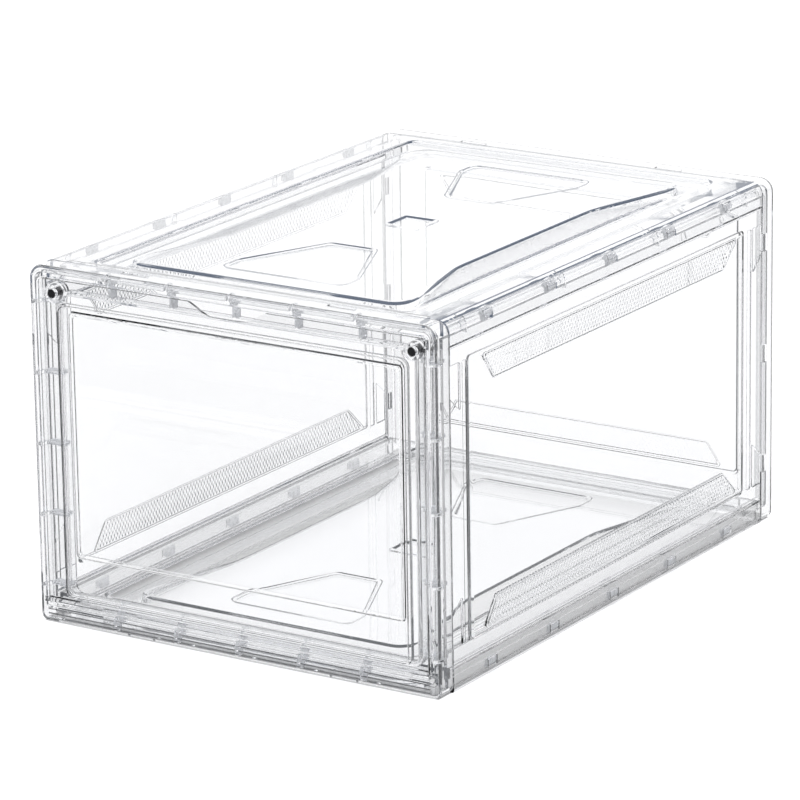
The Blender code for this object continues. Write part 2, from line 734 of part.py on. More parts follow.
def build_side(name, side):
    """Side panel; side is -1 on the left and 1 on the right."""
    face = SIDE_FACE
    rear = face + WALL
    rear_trim = WALL - WIN_REAR_TRIM
    floor_trim = rear_trim - WIN_SLOPE
    # half length, half height, corner radius, depth in from the skirt face
    stations = [
        (WIN_Y - WIN_SLOPE, WIN_Z - WIN_SLOPE, 0.0012, face + WIN_SINK),
        (WIN_Y, WIN_Z, 0.0015, face),
        (Y_PANEL, SIDE_HALF_Z, SIDE_R, face),
        (Y_PANEL, SIDE_HALF_Z, SIDE_R, SIDE_TONGUE_OUTER),
        (Y_TONGUE, SIDE_TONGUE_Z, SIDE_R, SIDE_TONGUE_OUTER),
        (Y_TONGUE, SIDE_TONGUE_Z, SIDE_R, SIDE_TONGUE_INNER),
        (Y_PANEL - WALL, SIDE_HALF_Z - WALL, SIDE_R, SIDE_TONGUE_INNER),
        (Y_PANEL - WALL, SIDE_HALF_Z - WALL, SIDE_R, rear),
        (WIN_Y + rear_trim, WIN_Z + rear_trim, 0.0030, rear),
        (WIN_Y + floor_trim, WIN_Z + floor_trim, 0.0028, rear + WIN_SINK),
    ]
    loops = []
    for half_y, half_z, radius, depth in stations:
        outline = round_rect(-half_y, half_y, MID_Z - half_z, MID_Z + half_z,
                             radius, radius, SIDE_ARC)
        loops.append([(side * (HALF_W - depth), y, z) for y, z in outline])
    panel = loops_object(name, loops)
    strips = trapezoid_strips(HALF_W - face - WIN_SINK, STRIP_LONG, STRIP_SHORT, WIN_Z,
                              lambda along, out, z: (side * out, along, z))
    combine(panel, strips, 'UNION')
    combine(panel, side_tabs(side), 'UNION')
    combine(panel, side_pockets(side), 'DIFFERENCE')
    smooth_round(panel)


# ------------------------------------------------------------------ back panel
BACK_WIN = 0.0240        # inset of the sunk window
BACK_WIN_SLOPE = 0.0006
BACK_RAIL = RAIL_IN + 0.0002        # inset of the inner rail
BACK_RAIL_END = RING_D - 0.0025     # depth the rail reaches
BACK_STRIP_LONG = HALF_W - 0.032
BACK_STRIP_SHORT = HALF_W - 0.042
POST_SLOT_Z = 0.066      # pitch of the slots in the left and right walls
POST_SLOT_HALF = 0.0052


def back_slots():
    """Clip slots in top and bottom, three slots in each of the left and right walls."""
    bm = bmesh.new()
    y0, y1 = HALF_D - CLIP_FAR, HALF_D - CLIP_NEAR
    add_clip_slots(bm, y0, y1)
    for side in SIDES:
        for k in (-1, 0, 1):
            z = MID_Z + k * POST_SLOT_Z
            add_box(bm, side * (HALF_W - CLIP_CUT), side * (HALF_W + OVERCUT), y0, y1,
                    z - POST_SLOT_HALF, z + POST_SLOT_HALF)
    return bm


def build_back():
    win_rear = BACK_WIN - WALL + WIN_REAR_TRIM
    # inset, depth in from the back face, corner radius
    stations = [
        (BACK_WIN + BACK_WIN_SLOPE, WIN_SINK, 0.0024),
        (BACK_WIN, 0, 0.003),
        *reversed(RING_SKIN),
        (WALL, RING_D, CORNER_R - WALL),
        (WALL, WALL, CORNER_R - WALL),
        (BACK_RAIL, WALL, 0.0036),
        (BACK_RAIL, BACK_RAIL_END, 0.0036),
        (BACK_RAIL + RAIL_T, BACK_RAIL_END, 0.0026),
        (BACK_RAIL + RAIL_T, WALL, 0.0026),
        (win_rear, WALL, 0.0045),
        (win_rear + BACK_WIN_SLOPE, WALL + WIN_SINK, 0.0040),
    ]
    loops = [upright_loop(HALF_W - inset, inset, BOX_H - inset, HALF_D - depth, radius, radius)
             for inset, depth, radius in stations]
    panel = loops_object("back_panel", loops)
    strips = trapezoid_strips(HALF_D - WIN_SINK, BACK_STRIP_LONG, BACK_STRIP_SHORT,
                              MID_Z - BACK_WIN, lambda along, out, z: (along, out, z))
    combine(panel, strips, 'UNION')
    combine(panel, back_slots(), 'DIFFERENCE')
    smooth_round(panel)


# ------------------------------------------------------------------------ door
DOOR_GAP = 0.0007
DOOR_T = 0.0018
DOOR_WALL = DOOR_T - 0.0002         # thickness of the sloping walls
DOOR_SINK = 0.0038                  # depth of the sunk field
DOOR_SLOPE = 0.0005                 # inward slope of the field's wall
DOOR_WIN_DIP = 0.0012               # window floor behind the field
DOOR_WIN_SLOPE = 0.0012
# half width, lower z, upper z
DOOR_EDGE = (HALF_W - LIP - DOOR_GAP, HINGE_Z, BOX_H - LIP - DOOR_GAP)
DOOR_FIELD = (0.1103, 0.018, 0.182)
DOOR_WINDOW = (0.104, 0.041, 0.176)
BARREL_INSET = 0.0002
PIN_ROOT = 0.004
DOOR_BOSS_START = 0.0008            # depths from the front face
DOOR_POCKET_END = 0.0075
GRIP_X = 0.014                      # finger notch in the upper edge
GRIP_X_TOP = 0.027
GRIP_Z = 0.1893
GRIP_OVERCUT = 0.002


def door_loop(outline, grow, depth, r_low, r_high):
    half_x, z0, z1 = outline
    return upright_loop(half_x + grow, z0 - grow, z1 + grow, Y_FRONT + depth, r_low, r_high)


def door_cuts():
    """Magnet pockets and the finger notch."""
    bm = bmesh.new()
    add_magnet_cylinders(bm, POCKET_R, DOOR_MAG_Y - POCKET_END_GAP, Y_FRONT + DOOR_POCKET_END)
    z_top = DOOR_EDGE[2] + GRIP_OVERCUT
    notch = [(-GRIP_X, GRIP_Z), (GRIP_X, GRIP_Z), (GRIP_X_TOP, z_top), (-GRIP_X_TOP, z_top)]
    add_prism_y(bm, notch, Y_FRONT - GRIP_OVERCUT, Y_FRONT + DOOR_T + OVERCUT)
    return bm


def build_door():
    win_floor = DOOR_SINK + DOOR_WIN_DIP
    # outline, growth, depth behind the front face, lower and upper corner radius
    stations = [
        (DOOR_WINDOW, 0, win_floor, 0.003, 0.003),
        (DOOR_WINDOW, DOOR_WIN_SLOPE, DOOR_SINK, 0.0042, 0.0042),
        (DOOR_FIELD, -DOOR_SLOPE, DOOR_SINK, 0.0020, 0.0038),
        (DOOR_FIELD, 0, 0, 0.0025, 0.0043),
        (DOOR_EDGE, 0, 0, 0.0008, 0.0025),
        (DOOR_EDGE, 0, DOOR_T, 0.0008, 0.0025),
        (DOOR_FIELD, DOOR_WALL, DOOR_T, 0.0032, 0.0056),
        (DOOR_FIELD, DOOR_WALL - DOOR_SLOPE, DOOR_SINK + DOOR_T, 0.0028, 0.0052),
        (DOOR_WINDOW, DOOR_WALL + DOOR_WIN_SLOPE, DOOR_SINK + DOOR_T, 0.0050, 0.0050),
        (DOOR_WINDOW, DOOR_WALL, win_floor + DOOR_T, 0.0040, 0.0040),
    ]
    door = loops_object("door_panel", [door_loop(*station) for station in stations])
    edge_x = DOOR_EDGE[0]

    barrel = bmesh.new()
    add_hinge_cylinder(barrel, BARREL_R, -edge_x + BARREL_INSET, edge_x - BARREL_INSET,
                       ROUND_SEGMENTS)
    combine(door, barrel, 'UNION')

    pins = bmesh.new()
    for side in SIDES:
        x0, x1 = sorted((side * (edge_x - PIN_ROOT), side * PIN_END))
        add_hinge_cylinder(pins, PIN_R, x0, x1, PIN_SEGMENTS)
    combine(door, pins, 'UNION')

    bosses = bmesh.new()
    add_magnet_cylinders(bosses, BOSS_R, Y_FRONT + DOOR_BOSS_START,
                         Y_FRONT + DOOR_SINK + DOOR_T)
    combine(door, bosses, 'UNION')
    combine(door, door_cuts(), 'DIFFERENCE')
    smooth_round(door)
    set_origin(door, (0.0, HINGE_Y, HINGE_Z))


# --------------------------------------------------------------------- magnets
def build_magnet(name, x_centre, y_front):
    """Disc with bevelled edges, its axis along Y."""
    y_back = y_front + MAG_L
    stations = ((y_front, MAG_R - MAG_BEVEL), (y_front + MAG_BEVEL, MAG_R),
                (y_back - MAG_BEVEL, MAG_R), (y_back, MAG_R - MAG_BEVEL))
    bm = bmesh.new()
    add_loops(bm, [[(x, y, z) for x, z in circle(x_centre, MAG_Z, radius, ROUND_SEGMENTS, 0)]
                   for y, radius in stations])
    smooth_round(new_object(name, bm, ferrite(name)))


build_base()
build_top()
build_side("left_side_panel", -1)
build_side("right_side_panel", 1)
build_back()
build_front_frame()
build_door()
for _side, _word in ((-1, "left"), (1, "right")):
    build_magnet("door_magnet_" + _word, _side * MAG_X, DOOR_MAG_Y)
    build_magnet("frame_magnet_" + _word, _side * MAG_X, FRAME_MAG_Y)
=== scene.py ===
"""Looks of the drop-front clear plastic shoe box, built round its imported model.

Every panel is modelled again with rounded edges, fine reliefs and textures, in the
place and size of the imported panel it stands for. Metres, +Z up, the door faces -Y.
The box is centred on x = y = 0 and stands on z = 0. In the loops below, side is the
sign of x, end the sign of y and level the sign of z from the middle height.
"""
import json
import math

import bmesh
import bpy
from mathutils import Matrix, Vector


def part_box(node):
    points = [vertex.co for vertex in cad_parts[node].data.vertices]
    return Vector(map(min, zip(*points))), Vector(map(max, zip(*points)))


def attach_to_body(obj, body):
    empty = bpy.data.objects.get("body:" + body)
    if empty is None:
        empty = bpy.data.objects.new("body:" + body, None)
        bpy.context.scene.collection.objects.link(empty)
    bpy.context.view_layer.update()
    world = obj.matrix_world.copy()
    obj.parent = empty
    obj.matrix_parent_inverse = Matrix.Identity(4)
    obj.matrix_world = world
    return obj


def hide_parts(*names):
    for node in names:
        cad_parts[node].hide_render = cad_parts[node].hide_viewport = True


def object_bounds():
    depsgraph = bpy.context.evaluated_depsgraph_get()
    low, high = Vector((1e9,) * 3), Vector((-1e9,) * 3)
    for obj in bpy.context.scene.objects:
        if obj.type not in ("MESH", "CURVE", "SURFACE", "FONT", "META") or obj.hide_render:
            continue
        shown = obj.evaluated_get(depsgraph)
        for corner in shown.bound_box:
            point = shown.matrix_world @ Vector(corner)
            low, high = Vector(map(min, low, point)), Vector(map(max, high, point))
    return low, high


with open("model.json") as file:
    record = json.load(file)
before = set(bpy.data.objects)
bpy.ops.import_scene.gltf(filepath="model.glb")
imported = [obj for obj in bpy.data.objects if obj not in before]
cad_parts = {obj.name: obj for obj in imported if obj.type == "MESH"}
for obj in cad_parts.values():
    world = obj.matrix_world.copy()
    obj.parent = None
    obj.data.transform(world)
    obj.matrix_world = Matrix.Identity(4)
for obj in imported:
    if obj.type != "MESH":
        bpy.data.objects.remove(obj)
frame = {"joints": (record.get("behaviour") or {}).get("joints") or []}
cad_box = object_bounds()

# ---------------------------------------------------------------- dimensions
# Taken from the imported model
HALF_X, HALF_Y, BOX_H = cad_box[1].x, cad_box[1].y, cad_box[1].z
MID_Z = BOX_H / 2
Y_FRONT = cad_box[0].y
RING_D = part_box("front_frame")[1].y - Y_FRONT        # depth of front frame and back panel
Y_RING = HALF_Y - RING_D
PAN_H = BOX_H - 0.1895                               # height of the top and base panels
SIDE_FACE = HALF_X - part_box("right_side_panel")[1].x
HINGE_Y, HINGE_Z = frame["joints"][0]["pos_m"][1:3]
magnet_low, magnet_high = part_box("door_magnet_right")
MAG_X = (magnet_low.x + magnet_high.x) / 2
MAG_Z = (magnet_low.z + magnet_high.z) / 2
MAG_R = (magnet_high.x - magnet_low.x) / 2
DOOR_MAG_Y, MAG_L = magnet_low.y, magnet_high.y - magnet_low.y
FRAME_MAG_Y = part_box("frame_magnet_right")[0].y

WALL = 0.002
GAP = 0.0003             # clearance between panels
CORNER_R = 0.008
EDGE_ROUND = 0.0030
FOOT_R = 0.0045          # the two lower corners are rounded less

# Front frame: a lip, a seat for the door, ribs behind them
LIP = 0.006
LIP_BOTTOM = 0.010
RECESS = 0.0061
SEAT = 0.0165
SEAT_BOTTOM = 0.0155
FRAME_RIB_T = 0.0020
FRAME_RIB_Z = 0.0403     # pitch of the ribs in the posts
FRAME_RIB_X = 0.040      # pitch of the ribs in the rails

# Joints between the panels
CLIP_X = 0.066
CLIP_W = 0.017
CLIP_Y0 = 0.0092         # clip slots, from the front or back face
CLIP_Y1 = 0.0122
CLIP_DEPTH = 0.0026
TONGUE_IN = 0.0023
TONGUE_REACH = 0.005
TONGUE_HALF_X = 0.1150
RAIL_IN = 0.0048
RAIL_T = 0.002
RAIL_OUT_X = HALF_X - RAIL_IN
RAIL_IN_X = HALF_X - RAIL_IN - RAIL_T
SNAP_Y = 0.064           # pitch of the snaps
SNAP_W = 0.0092
SNAPS = [(side, k) for side in (-1, 1) for k in (-2, -1, 0, 1, 2)]
RIB_Y = 0.100            # pitch of the lid's edge ribs

# Top and base panels: a plateau with a notch in each long side, in a sunk moat
MOAT_X = 0.1015
MOAT_Y = 0.1605
MOAT_DEPTH = 0.006
PLATEAU_X = 0.0885
PLATEAU_NOTCH_X = 0.0735
PLATEAU_Y = 0.1487
PLATEAU_DROP = 0.001
NOTCH_Y_OUT = 0.131
NOTCH_Y_IN = 0.071
EDGE_R = 0.007
SHIELD_Y_FAR = 0.128
SHIELD_Y_MID = 0.113
SHIELD_Y_NEAR = 0.060
SHIELD_X = 0.038
SHIELD_X_NEAR = 0.014
RELIEF_DEPTH = 0.0012
TILE = 0.0095            # half width of the square hollow in the middle

# Side and back panels: a sunk window with textured strips
WIN_Y = 0.146
WIN_Z = 0.0765
WIN_SINK = 0.002
BACK_WIN = 0.0240        # inset of the back window
STRIP_H = 0.0145
STRIP_RISE = 0.0012
STRIP_ROOT = -0.0006     # the pads start below the floor they stand on
POCKET_Y0 = 0.1575
POCKET_DEPTH = 0.0014

# Door
DOOR_T = 0.0018
DOOR_GAP = 0.0007
DOOR_EDGE_X = HALF_X - LIP - DOOR_GAP
DOOR_EDGE_Z = BOX_H - LIP - DOOR_GAP
DOOR_SINK = 0.0038       # depth of the sunk field
DOOR_WIN_SINK = 0.0050   # depth of the window in that field
# (half width, lowest z, highest z)
DOOR_EDGE = (DOOR_EDGE_X, HINGE_Z, DOOR_EDGE_Z)
DOOR_STEP = (0.1103, 0.018, 0.182)
DOOR_WIN = (0.104, 0.041, 0.176)
BARREL_R = 0.0022
PIN_R = 0.0015
SOCKET_R = 0.0016
PIN_END = 0.1256
BOSS_R = 0.0050          # bosses and pockets of the magnets
POCKET_R = 0.00275
GRIP_HALF = 0.0290       # thumb notch in the door's top edge
GRIP_FLAT = 0.009
GRIP_FLOOR_Z = 0.1893

ARC = 10                 # segments in a rounded corner
# the fourth slot, on ribs and tabs, is a white material: painted highlight for the glints of clear
# plastic
CLEAR, KNURL, SATIN_SHADED, GLINT_WHITE = range(4)        # material slots of every panel


# ------------------------------------------------------------ outlines
def corner_points(cx, cy, r, start, n=ARC):
    return [(cx + r * math.cos(start + math.pi / 2 * i / n),
             cy + r * math.sin(start + math.pi / 2 * i / n)) for i in range(n + 1)]


def round_rect(x0, x1, y0, y1, r_low, r_high, n=ARC):
    return (corner_points(x1 - r_high, y1 - r_high, r_high, 0.0, n)
            + corner_points(x0 + r_high, y1 - r_high, r_high, math.pi / 2, n)
            + corner_points(x0 + r_low, y0 + r_low, r_low, math.pi, n)
            + corner_points(x1 - r_low, y0 + r_low, r_low, 1.5 * math.pi, n))


def inset_rect(rect, inset, r_low, r_high, n=ARC):
    """A rectangle given as (half width, low, high), drawn in by inset."""
    half, low, high = rect
    return round_rect(-half + inset, half - inset, low + inset, high - inset, r_low, r_high, n)


def circle(r, n, shift=0.5):
    return [(r * math.cos(2 * math.pi * (i + shift) / n),
             r * math.sin(2 * math.pi * (i + shift) / n)) for i in range(n)]


def curve(start, corner, end, n):
    """Points of the quadratic curve that rounds a corner."""
    points = []
    for i in range(n + 1):
        s = i / n
        points.append(tuple(start * (1 - s) ** 2 + corner * 2 * s * (1 - s) + end * s * s))
    return points


def round_polygon(points, r, n=4):
    out = []
    for k, point in enumerate(points):
        corner = Vector(point)
        before = (Vector(points[k - 1]) - corner).normalized()
        after = (Vector(points[(k + 1) % len(points)]) - corner).normalized()
        turn = math.acos(max(-1.0, min(1.0, before.dot(after))))
        trim = r / math.tan(turn / 2)
        out += curve(corner + before * trim, corner, corner + after * trim, n)
    return out


def fillet(stack, n=3):
    """Rounds the profile made by a stack of (loop, radius); radius 0 leaves a loop as it is."""
    out = []
    for k, (loop, r) in enumerate(stack):
        if not r:
            out.append(loop)
            continue
        before, after = stack[k - 1][0], stack[(k + 1) % len(stack)][0]
        steps = [[] for _ in range(n + 1)]
        for corner, prev, following in zip(loop, before, after):
            corner = Vector(corner)
            to_prev, to_next = Vector(prev) - corner, Vector(following) - corner
            len_prev, len_next = max(to_prev.length, 1e-9), max(to_next.length, 1e-9)
            cosine = to_prev.dot(to_next) / (len_prev * len_next)
            turn = math.acos(max(-1.0, min(1.0, cosine)))
            trim = min(r / max(math.tan(turn / 2), 1e-3), 0.42 * len_prev, 0.42 * len_next)
            points = curve(corner + to_prev * (trim / len_prev), corner,
                           corner + to_next * (trim / len_next), n)
            for step, point in zip(steps, points):
                step.append(point)
        out += steps
    return out


# ------------------------------------------------------------ mesh tools
def add_loops(bm, loops, closed=False, cap=True, mat=CLEAR):
    """Skins a stack of loops; closed joins the last to the first, cap fills the ends."""
    rows = [[bm.verts.new(p) for p in loop] for loop in loops]
    n = len(rows[0])
    faces = []
    pairs = list(zip(rows, rows[1:])) + ([(rows[-1], rows[0])] if closed else [])
    for a, b in pairs:
        for i in range(n):
            j = (i + 1) % n
            faces.append(bm.faces.new((a[i], a[j], b[j], b[i])))
    if cap and not closed:
        faces.append(bm.faces.new(rows[0]))
        faces.append(bm.faces.new(rows[-1]))
    for f in faces:
        f.material_index = mat
    return rows


def add_box(bm, xa, xb, y0, y1, z0, z1, mat=CLEAR):
    """A box; xa and xb may come in either order."""
    x0, x1 = sorted((xa, xb))
    plan = [(x0, y0), (x1, y0), (x1, y1), (x0, y1)]
    add_loops(bm, [[(x, y, z) for x, y in plan] for z in (z0, z1)], mat=mat)


def add_cylinder_y(bm, cx, cz, r, y0, y1):
    add_loops(bm, [[(cx + x, y, cz + z) for x, z in circle(r, 40)] for y in (y0, y1)])


def add_cylinder_x(bm, cy, cz, r, x0, x1):
    add_loops(bm, [[(x, cy + y, cz + z) for y, z in circle(r, 32)] for x in (x0, x1)])


def add_prism_x(bm, outline_yz, x0, x1):
    add_loops(bm, [[(x, y, z) for y, z in outline_yz] for x in (x0, x1)])


def make_object(name, bm):
    bmesh.ops.remove_doubles(bm, verts=bm.verts, dist=1e-7)
    bmesh.ops.recalc_face_normals(bm, faces=bm.faces)
    mesh = bpy.data.meshes.new(name)
    bm.to_mesh(mesh)
    bm.free()
    obj = bpy.data.objects.new(name, mesh)
    bpy.context.scene.collection.objects.link(obj)
    return obj


def loops_object(name, loops, closed=False):
    bm = bmesh.new()
    add_loops(bm, loops, closed)
    return make_object(name, bm)


def boolean(target, tool, operation):
    """Applies a boolean to target and removes the tool."""
    mod = target.modifiers.new("cut", 'BOOLEAN')
    mod.operation = operation
    mod.solver = 'EXACT'
    mod.object = tool
    bpy.context.view_layer.update()
    deps = bpy.context.evaluated_depsgraph_get()
    mesh = bpy.data.meshes.new_from_object(target.evaluated_get(deps))
    target.modifiers.clear()
    old = target.data
    target.data = mesh
    mesh.name = target.name
    bpy.data.meshes.remove(old)
    tool_mesh = tool.data
    bpy.data.objects.remove(tool, do_unlink=True)
    bpy.data.meshes.remove(tool_mesh)


def fill_slots(obj):
    while len(obj.data.materials) < 4:
        obj.data.materials.append(None)


def combine(target, build, operation):
    """Joins to or cuts from target whatever build(bm) makes."""
    bm = bmesh.new()
    build(bm)
    tool = make_object("tool", bm)
    fill_slots(tool)
    fill_slots(target)
    boolean(target, tool, operation)


def finish_mesh(obj):
    """Smooth shading with crisp creases, and normals that keep flat faces flat."""
    crease = math.radians(38.0)
    bm = bmesh.new()
    bm.from_mesh(obj.data)
    bmesh.ops.remove_doubles(bm, verts=bm.verts, dist=2e-7)
    bmesh.ops.dissolve_degenerate(bm, edges=bm.edges, dist=1e-7)
    for f in bm.faces:
        f.smooth = f.material_index != KNURL
    for e in bm.edges:
        if len(e.link_faces) == 2:
            e.smooth = e.calc_face_angle(0.0) < crease
    bm.to_mesh(obj.data)
    bm.free()
    mod = obj.modifiers.new("normals", 'WEIGHTED_NORMAL')
    mod.keep_sharp = True
    mod.weight = 60


# ------------------------------------------------------- textured strips
DIAMOND_U = 0.0030       # pitch of the diamonds along and across the strip
DIAMOND_V = 0.0046
DIAMOND_H = 0.00028
PAD_RIM = 0.0017
# The plain pad: growth of the outline, corner radius, height
PAD_STACK = ((0.0002, 0.0022, STRIP_ROOT),
             (0.00003, 0.0021, STRIP_RISE - 0.00030),
             (-0.00006, 0.00205, STRIP_RISE - 0.00010),
             (-0.00025, 0.0019, STRIP_RISE),
             (-0.00070, 0.0017, STRIP_RISE),
             (-0.00105, 0.0016, STRIP_RISE - 0.00080),
             (-0.00140, 0.0015, STRIP_RISE))


def knurl_slab(to_world, u0, u1, v0, v1, top, root):
    """A slab whose outer face is a field of long diamonds, as its own object."""
    nu = max(2, round((u1 - u0) / (DIAMOND_U / 2)))
    nv = max(2, round((v1 - v0) / (DIAMOND_V / 2)))

    def place(i, j, height):
        return to_world(u0 + (u1 - u0) * i / nu, v0 + (v1 - v0) * j / nv, height)

    bm = bmesh.new()
    grid = [[bm.verts.new(place(i, j, top + (DIAMOND_H if (i + j) % 2 == 0 else 0.0)))
             for i in range(nu + 1)] for j in range(nv + 1)]
    for j in range(nv):
        for i in range(nu):
            a, b, c, d = grid[j][i], grid[j][i + 1], grid[j + 1][i + 1], grid[j + 1][i]
            tris = ((a, b, d), (b, c, d)) if (i + j) % 2 == 0 else ((a, b, c), (a, c, d))
            for tri in tris:
                bm.faces.new(tri).material_index = KNURL
    border = ([(i, 0) for i in range(nu + 1)] + [(nu, j) for j in range(1, nv + 1)]
              + [(i, nv) for i in range(nu - 1, -1, -1)] + [(0, j) for j in range(nv - 1, 0, -1)])
    rim = [grid[j][i] for i, j in border]
    foot = [bm.verts.new(place(i, j, root)) for i, j in border]
    for i in range(len(rim)):
        k = (i + 1) % len(rim)
        bm.faces.new((rim[i], rim[k], foot[k], foot[i]))
    bm.faces.new(foot)
    return make_object("slab", bm)


def knurled_pad(target, to_world, outline):
    """A raised pad with a plain rounded rim round a field of diamonds.

    to_world takes (u, v, height) on the panel to a place in the box."""
    us, vs = [p[0] for p in outline], [p[1] for p in outline]
    centre = Vector(((min(us) + max(us)) / 2, (min(vs) + max(vs)) / 2))

    def grown(distance):
        out = []
        for k, point in enumerate(outline):
            prev, point = Vector(outline[k - 1]), Vector(point)
            following = Vector(outline[(k + 1) % len(outline)])
            normal_in = Vector(((point - prev).y, -(point - prev).x)).normalized()
            normal_out = Vector(((following - point).y, -(following - point).x)).normalized()
            if (point - centre).dot(normal_in + normal_out) < 0:
                normal_in, normal_out = -normal_in, -normal_out
            mitre = (normal_in + normal_out).normalized()
            out.append(tuple(point + mitre * (distance / max(mitre.dot(normal_in), 0.2))))
        return out

    def loop(growth, r, height):
        return [to_world(u, v, height) for u, v in round_polygon(grown(growth), r)]

    combine(target, lambda bm: add_loops(bm, [loop(*row) for row in PAD_STACK]), 'UNION')
    # the diamonds, cut to the inner outline
    slab = knurl_slab(to_world, min(us), max(us), min(vs), max(vs),
                      STRIP_RISE - 0.00004, STRIP_RISE - 0.0006)
    combine(slab, lambda bm: add_loops(bm, [loop(-PAD_RIM, 0.0012, STRIP_RISE + height)
                                            for height in (-0.00030, 0.004)]), 'INTERSECT')
    boolean(target, slab, 'UNION')


# ------------------------------------------------------------ shared features
def rounded_outer(loop_at, n=6):
    """Loops that round the outer edge of a ring, from its side to its face.

    loop_at takes the inset, the depth and the corner radius."""
    loops = []
    for i in range(n + 1):
        angle = math.pi / 2 * i / n
        inset = EDGE_ROUND * (1 - math.cos(angle))
        loops.append(loop_at(inset, EDGE_ROUND * (1 - math.sin(angle)), CORNER_R - inset))
    return loops


def add_clip_slots(bm, side, y0, y1):
    """A slot through the top and the bottom of a ring."""
    for z0, z1 in ((BOX_H - CLIP_DEPTH, BOX_H + 0.001), (-0.001, CLIP_DEPTH)):
        add_box(bm, side * CLIP_X - CLIP_W / 2, side * CLIP_X + CLIP_W / 2, y0, y1, z0, z1)


def add_catches(bm, z0, z1):
    """The four blocks that fill the clip slots."""
    half = CLIP_W / 2 - 0.0006
    for end in (-1, 1):
        for side in (-1, 1):
            yc = end * (HALF_Y - (CLIP_Y0 + CLIP_Y1) / 2)
            add_box(bm, side * CLIP_X - half, side * CLIP_X + half, yc - 0.0010, yc + 0.0010, z0, z1)


def add_tongues(bm, y_root, z_root, z_high, z_low):
    """A stepped tongue at the front and back of a pan, reaching into the rings."""
    for end in (-1, 1):
        y_step, y_tip = Y_RING - GAP - 0.0003, Y_RING + TONGUE_REACH - GAP
        outline = [(y_root, z_root), (y_step, z_root), (y_step, z_high),
                   (y_tip, z_high), (y_tip, z_low), (y_root, z_low)]
        add_prism_x(bm, [(end * y, z) for y, z in outline], -TONGUE_HALF_X, TONGUE_HALF_X)


# --------------------------------------------------------------- front frame
def frame_loop(inset, bottom, depth, r_low, r_high):
    """A loop drawn in by inset at the sides and top, and by bottom below."""
    points = round_rect(-HALF_X + inset, HALF_X - inset, bottom, BOX_H - inset, r_low, r_high)
    return [(x, Y_FRONT + depth, z) for x, z in points]


def add_frame_rib(bm, post, at, inset0, inset1, depth0, depth1):
    """A rib at x or z = at, between two insets from the outside of the frame."""
    y0, y1 = Y_FRONT + depth0, Y_FRONT + depth1
    a0, a1 = at - FRAME_RIB_T / 2, at + FRAME_RIB_T / 2
    if post in ("left", "right"):
        side = 1 if post == "right" else -1
        add_box(bm, side * (HALF_X - inset0), side * (HALF_X - inset1), y0, y1, a0, a1, GLINT_WHITE)
    elif post == "top":
        add_box(bm, a0, a1, y0, y1, BOX_H - inset1, BOX_H - inset0, GLINT_WHITE)
    else:
        add_box(bm, a0, a1, y0, y1, inset0, inset1, GLINT_WHITE)


